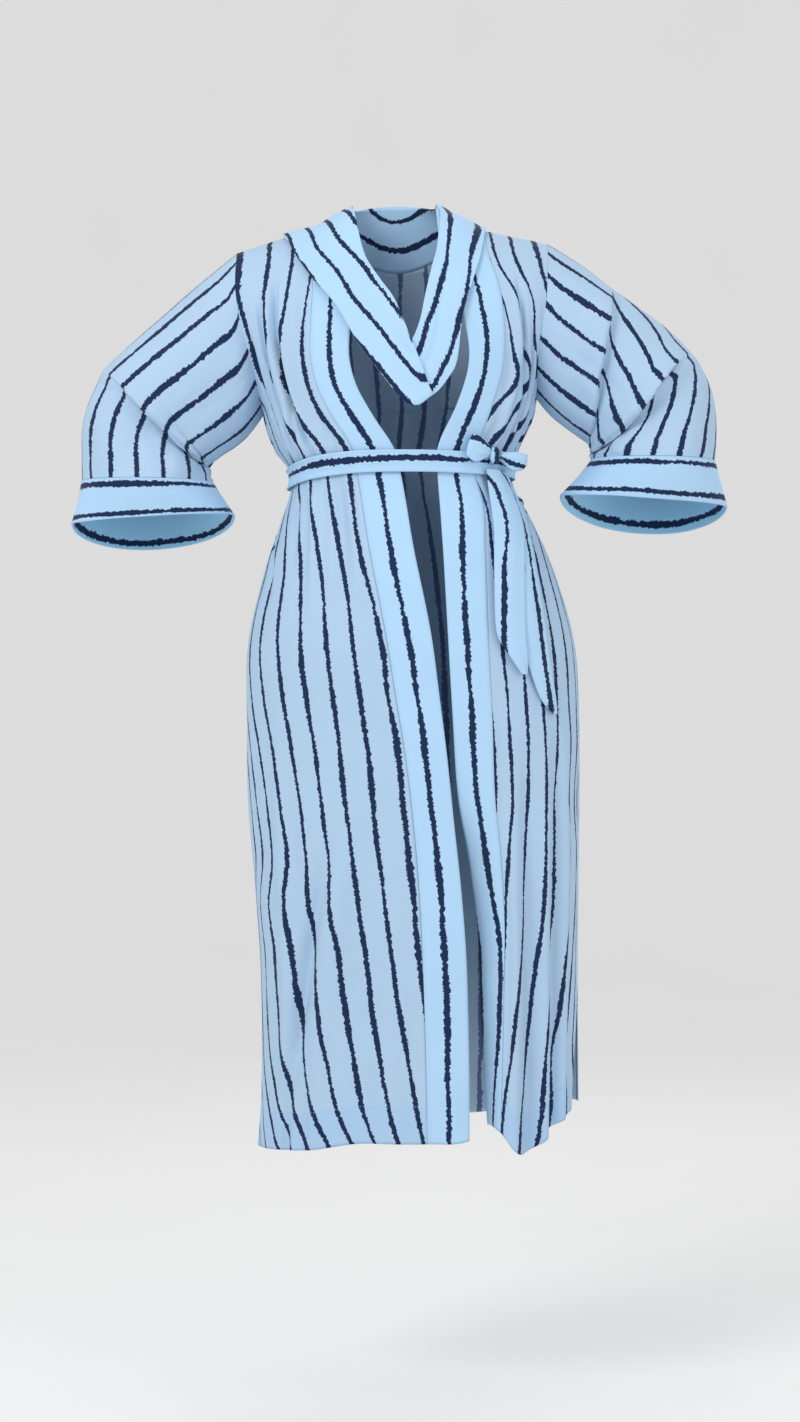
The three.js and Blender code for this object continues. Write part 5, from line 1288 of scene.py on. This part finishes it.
class KimonoColours(PropertyGroup):
    """Colours of the cloth, its print, its thread and the floor, and the painted light inside the cuffs."""

    single: colour("Single crepe", "Ground of the panels and sleeves", "#ADCAE5")
    hem: colour("Hem", "Ground of the turned hem", "#A8C8E8")
    doubled: colour("Doubled crepe", "Ground of bands, cuffs, collar and belt", "#B0D5F4")
    navy: colour("Stripes", "Printed stripes", "#0E264C")
    reverse: colour("Reverse", "Ground of the single crepe's reverse", "#AFC9DF")
    reverse_navy: colour("Reverse stripes", "Stripes that show through on the reverse", "#5C6F95")
    # Painted light: the cuffs' inner face is coloured brighter and bluer than the doubled crepe, to stand in
    # for light that shines through the cloth and lifts the shade inside the cuffs.
    cuff_inside_painted_light: colour("Inside of the cuffs", "Ground of the cuffs' inner layer", "#A8E0FF")
    thread: colour("Thread", "Sewing thread", "#A9D2F2")
    floor: colour("Floor", "Floor and backdrop", "#F3F3F3")


class KimonoStudio(PropertyGroup):
    """Light of the studio."""

    ambient: FloatProperty(
        name="Ambient", description="Brightness of the light from all round", default=0.74)
    key: FloatProperty(
        name="Key", description="Power of the large soft lamp at the upper left", default=55.0,
        unit="POWER")


# ---------------------------------------------------------------- operators

class KIMONO_OT_panels(Operator):
    """Makes the back and the two fronts, with their folds, gathers and turned hems"""

    bl_idname = "kimono.panels"
    bl_label = "Panels"

    def execute(self, context):
        hem = context.scene.kimono_sizes.hem_depth / MM
        panels = (
            ("front_right", front_sheet(-1, BAND_RIGHT, FOLDS_RIGHT, GRAIN_RIGHT, 11),
             (0.31, 1.27), 0.316, ["belt", "sleeve_right"]),
            ("front_left", front_sheet(1, BAND_LEFT, FOLDS_LEFT, GRAIN_LEFT, 23),
             (0.22, 1.27), 0.231, ["belt", "sleeve_left"]),
            ("back", back_sheet(37), (0.61, 1.25), 0.72, ["neck_band", "belt"]),
        )
        for node, shape, cut, area, rests_on in panels:
            middle = shape[1][:, shape[1].shape[1] // 2, 1]
            line = np.s_[int(np.argmin(np.abs(middle - hem))), 2:-2]
            sew(node, shape, SINGLE, lines=((line, 1), (line, -1)))
        return {"FINISHED"}


class KIMONO_OT_bands(Operator):
    """Makes the doubled front bands and the neck band, with a stitched line beside each seam"""

    bl_idname = "kimono.bands"
    bl_label = "Bands"

    def execute(self, context):
        bands = (
            ("band_right", band_sheet(-1, BAND_RIGHT, 41), (0.055, 1.27), np.s_[:, -2]),
            ("band_left", band_sheet(1, BAND_LEFT, 47), (0.055, 1.27), np.s_[:, 1]),
            ("neck_band", neck_sheet(), (0.065, 0.27), np.s_[-2, :]),
        )
        for node, shape, cut, line in bands:
            sew(node, shape, DOUBLED, lines=((line, 1),))
        return {"FINISHED"}


# Lines of stitches beside both edges of a cuff or of the belt.
BOTH_EDGES = ((np.s_[1, :], 1), (np.s_[-2, :], 1))


class KIMONO_OT_sleeves(Operator):
    """Makes the bent sleeves and their deep cuffs"""

    bl_idname = "kimono.sleeves"
    bl_label = "Sleeves and cuffs"

    def execute(self, context):
        sleeves = (
            ("right", -1, SLEEVE_RIGHT, SLEEVE_FOLDS_RIGHT, STEPS_RIGHT, PRINT_RIGHT, CUFF_RIGHT, 53),
            ("left", 1, SLEEVE_LEFT, SLEEVE_FOLDS_LEFT, STEPS_LEFT, PRINT_LEFT, CUFF_LEFT, 61),
        )
        for name, side, rings, folds, steps, print_table, cuff_rings, seed in sleeves:
            sleeve = sleeve_sheet(side, rings, folds, steps, print_table, seed)
            sew(f"sleeve_{name}", sleeve, SINGLE,
                closed=True)
            cuff = cuff_sheet(side, cuff_rings, sleeve[0][-1], seed + 4)
            sew(f"cuff_{name}", cuff, CUFF,
                closed=True, lines=BOTH_EDGES)
        return {"FINISHED"}


class KIMONO_OT_collar(Operator):
    """Makes the draped collar, which lies on the shoulders and falls in a cowl"""

    bl_idname = "kimono.collar"
    bl_label = "Draped collar"

    def execute(self, context):
        sew("drape_collar", drape_sheet(71), DOUBLED,
            closed=True)
        return {"FINISHED"}


class KIMONO_OT_belt(Operator):
    """Makes the belt, its knot, the two bow loops and the two tails"""

    bl_idname = "kimono.belt"
    bl_label = "Belt and bow"

    def execute(self, context):
        sew("belt", belt_sheet(83), DOUBLED,
            closed=True, lines=BOTH_EDGES)
        strips = (
            ("belt_tail_front", tail_sheet(TAIL_FRONT, 89, 33), (0.040, 0.28), "hung"),
            ("belt_tail_side", tail_sheet(TAIL_SIDE, 97, 12), (0.040, 0.33), "hung"),
            ("bow_loop_inner", loop_sheet(0), (0.036, 0.065), "folded"),
            ("bow_loop_outer", loop_sheet(1), (0.025, 0.067), "folded"),
        )
        for node, shape, cut, held in strips:
            sew(node, shape, DOUBLED)
        sew("bow_knot", knot_sheet(), DOUBLED, closed=True,
            thickness=0.0006)
        return {"FINISHED"}


class KIMONO_OT_stage(Operator):
    """Makes the pale floor and backdrop, the soft studio light and the camera"""

    bl_idname = "kimono.stage"
    bl_label = "Stage"

    FLOOR = -1.528
    DISC, BEND, WALL = 4.5, 3.5, 9.0
    EYE = (0.008, -4.5, -0.632)
    LENS, SENSOR = 57.54, 24.0
    TARGET = (0.0, 0.0, -0.55)

    def execute(self, context):
        self.make_bowl()
        self.make_lights(context, context.scene.kimono_studio)
        camera = bpy.data.objects.new("camera", bpy.data.cameras.new("camera"))
        camera.data.sensor_fit = "VERTICAL"
        camera.data.sensor_height = self.SENSOR
        camera.data.lens = self.LENS
        camera.data.clip_end = 60.0
        camera.location = self.EYE
        camera.rotation_euler = (HALF_PI, 0.0, 0.0)
        context.scene.collection.objects.link(camera)
        context.scene.camera = camera
        return {"FINISHED"}

    def make_bowl(self):
        """Floor and backdrop in one: a flat disc that turns up in a quarter circle into a round wall."""
        bend = np.linspace(0, HALF_PI, 32)[1:]
        disc = np.linspace(0.0, self.DISC, 12)
        radius = np.concatenate((disc, self.DISC + self.BEND * np.sin(bend), [self.DISC + self.BEND]))
        height = np.concatenate((0 * disc, self.BEND * (1 - np.cos(bend)), [self.WALL])) + self.FLOOR
        angle = np.linspace(0, 2 * math.pi, 97)[:-1]
        points = np.stack((radius[:, None] * np.cos(angle), radius[:, None] * np.sin(angle),
                           height[:, None] + 0 * angle), -1) / MM
        bowl = grid_object("floor", points, np.zeros((len(radius), len(angle), 2)), closed=True)
        bowl.data.materials.append(material_named("studio floor"))
        bowl.visible_diffuse = False
        bowl.visible_glossy = False
        bowl.visible_shadow = False
        bowl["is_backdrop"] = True

    def make_lights(self, context, studio):
        world = bpy.data.worlds.new("studio")
        context.scene.world = world
        world.use_nodes = True
        ambient = world.node_tree.nodes["Background"]
        ambient.inputs[0].default_value = (1.0, 1.0, 1.0, 1.0)
        ambient.inputs[1].default_value = studio.ambient
        lamps = (
            # Name, place, size and power.
            ("key", (-1.9, -2.9, 1.5), 1.8, studio.key),
            ("fill", (2.6, -2.6, 0.3), 2.2, studio.key * 0.35),
            ("rim", (1.0, 2.8, 1.6), 2.0, studio.key * 0.25),
        )
        for name, place, size, power in lamps:
            data = bpy.data.lights.new(name, "AREA")
            data.shape = "DISK"
            data.size = size
            data.energy = power
            lamp = bpy.data.objects.new(name, data)
            lamp.location = place
            aim = np.array(self.TARGET) - np.array(place)
            flat_reach = math.hypot(aim[0], aim[1])
            lamp.rotation_euler = (HALF_PI + math.atan2(aim[2], flat_reach), 0.0,
                                   math.atan2(aim[1], aim[0]) - HALF_PI)
            context.scene.collection.objects.link(lamp)
        context.scene.view_settings.view_transform = "Standard"


STEPS = (KIMONO_OT_panels, KIMONO_OT_bands, KIMONO_OT_sleeves, KIMONO_OT_collar, KIMONO_OT_belt,
         KIMONO_OT_stage)


class KIMONO_PT_sidebar(Panel):
    """Lists the steps that build the kimono"""

    bl_label = "Maxi kimono"
    bl_idname = "KIMONO_PT_sidebar"
    bl_space_type = "VIEW_3D"
    bl_region_type = "UI"
    bl_category = "Kimono"

    def draw(self, context):
        scene = context.scene
        for group in (scene.kimono_sizes, scene.kimono_colours, scene.kimono_studio):
            for name in group.__annotations__:
                self.layout.prop(group, name)
        for step in STEPS:
            self.layout.operator(step.bl_idname)


CLASSES = (KimonoSizes, KimonoColours, KimonoStudio, *STEPS, KIMONO_PT_sidebar)


def register():
    for item in CLASSES:
        bpy.utils.register_class(item)
    bpy.types.Scene.kimono_sizes = PointerProperty(type=KimonoSizes)
    bpy.types.Scene.kimono_colours = PointerProperty(type=KimonoColours)
    bpy.types.Scene.kimono_studio = PointerProperty(type=KimonoStudio)


def unregister():
    del bpy.types.Scene.kimono_studio
    del bpy.types.Scene.kimono_colours
    del bpy.types.Scene.kimono_sizes
    for item in reversed(CLASSES):
        bpy.utils.unregister_class(item)


def main():
    register()
    bpy.ops.kimono.panels()
    bpy.ops.kimono.bands()
    bpy.ops.kimono.sleeves()
    bpy.ops.kimono.collar()
    bpy.ops.kimono.belt()
    bpy.ops.kimono.stage()
    visual_box = [list(corner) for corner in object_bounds()]


if __name__ == "__main__":
    main()
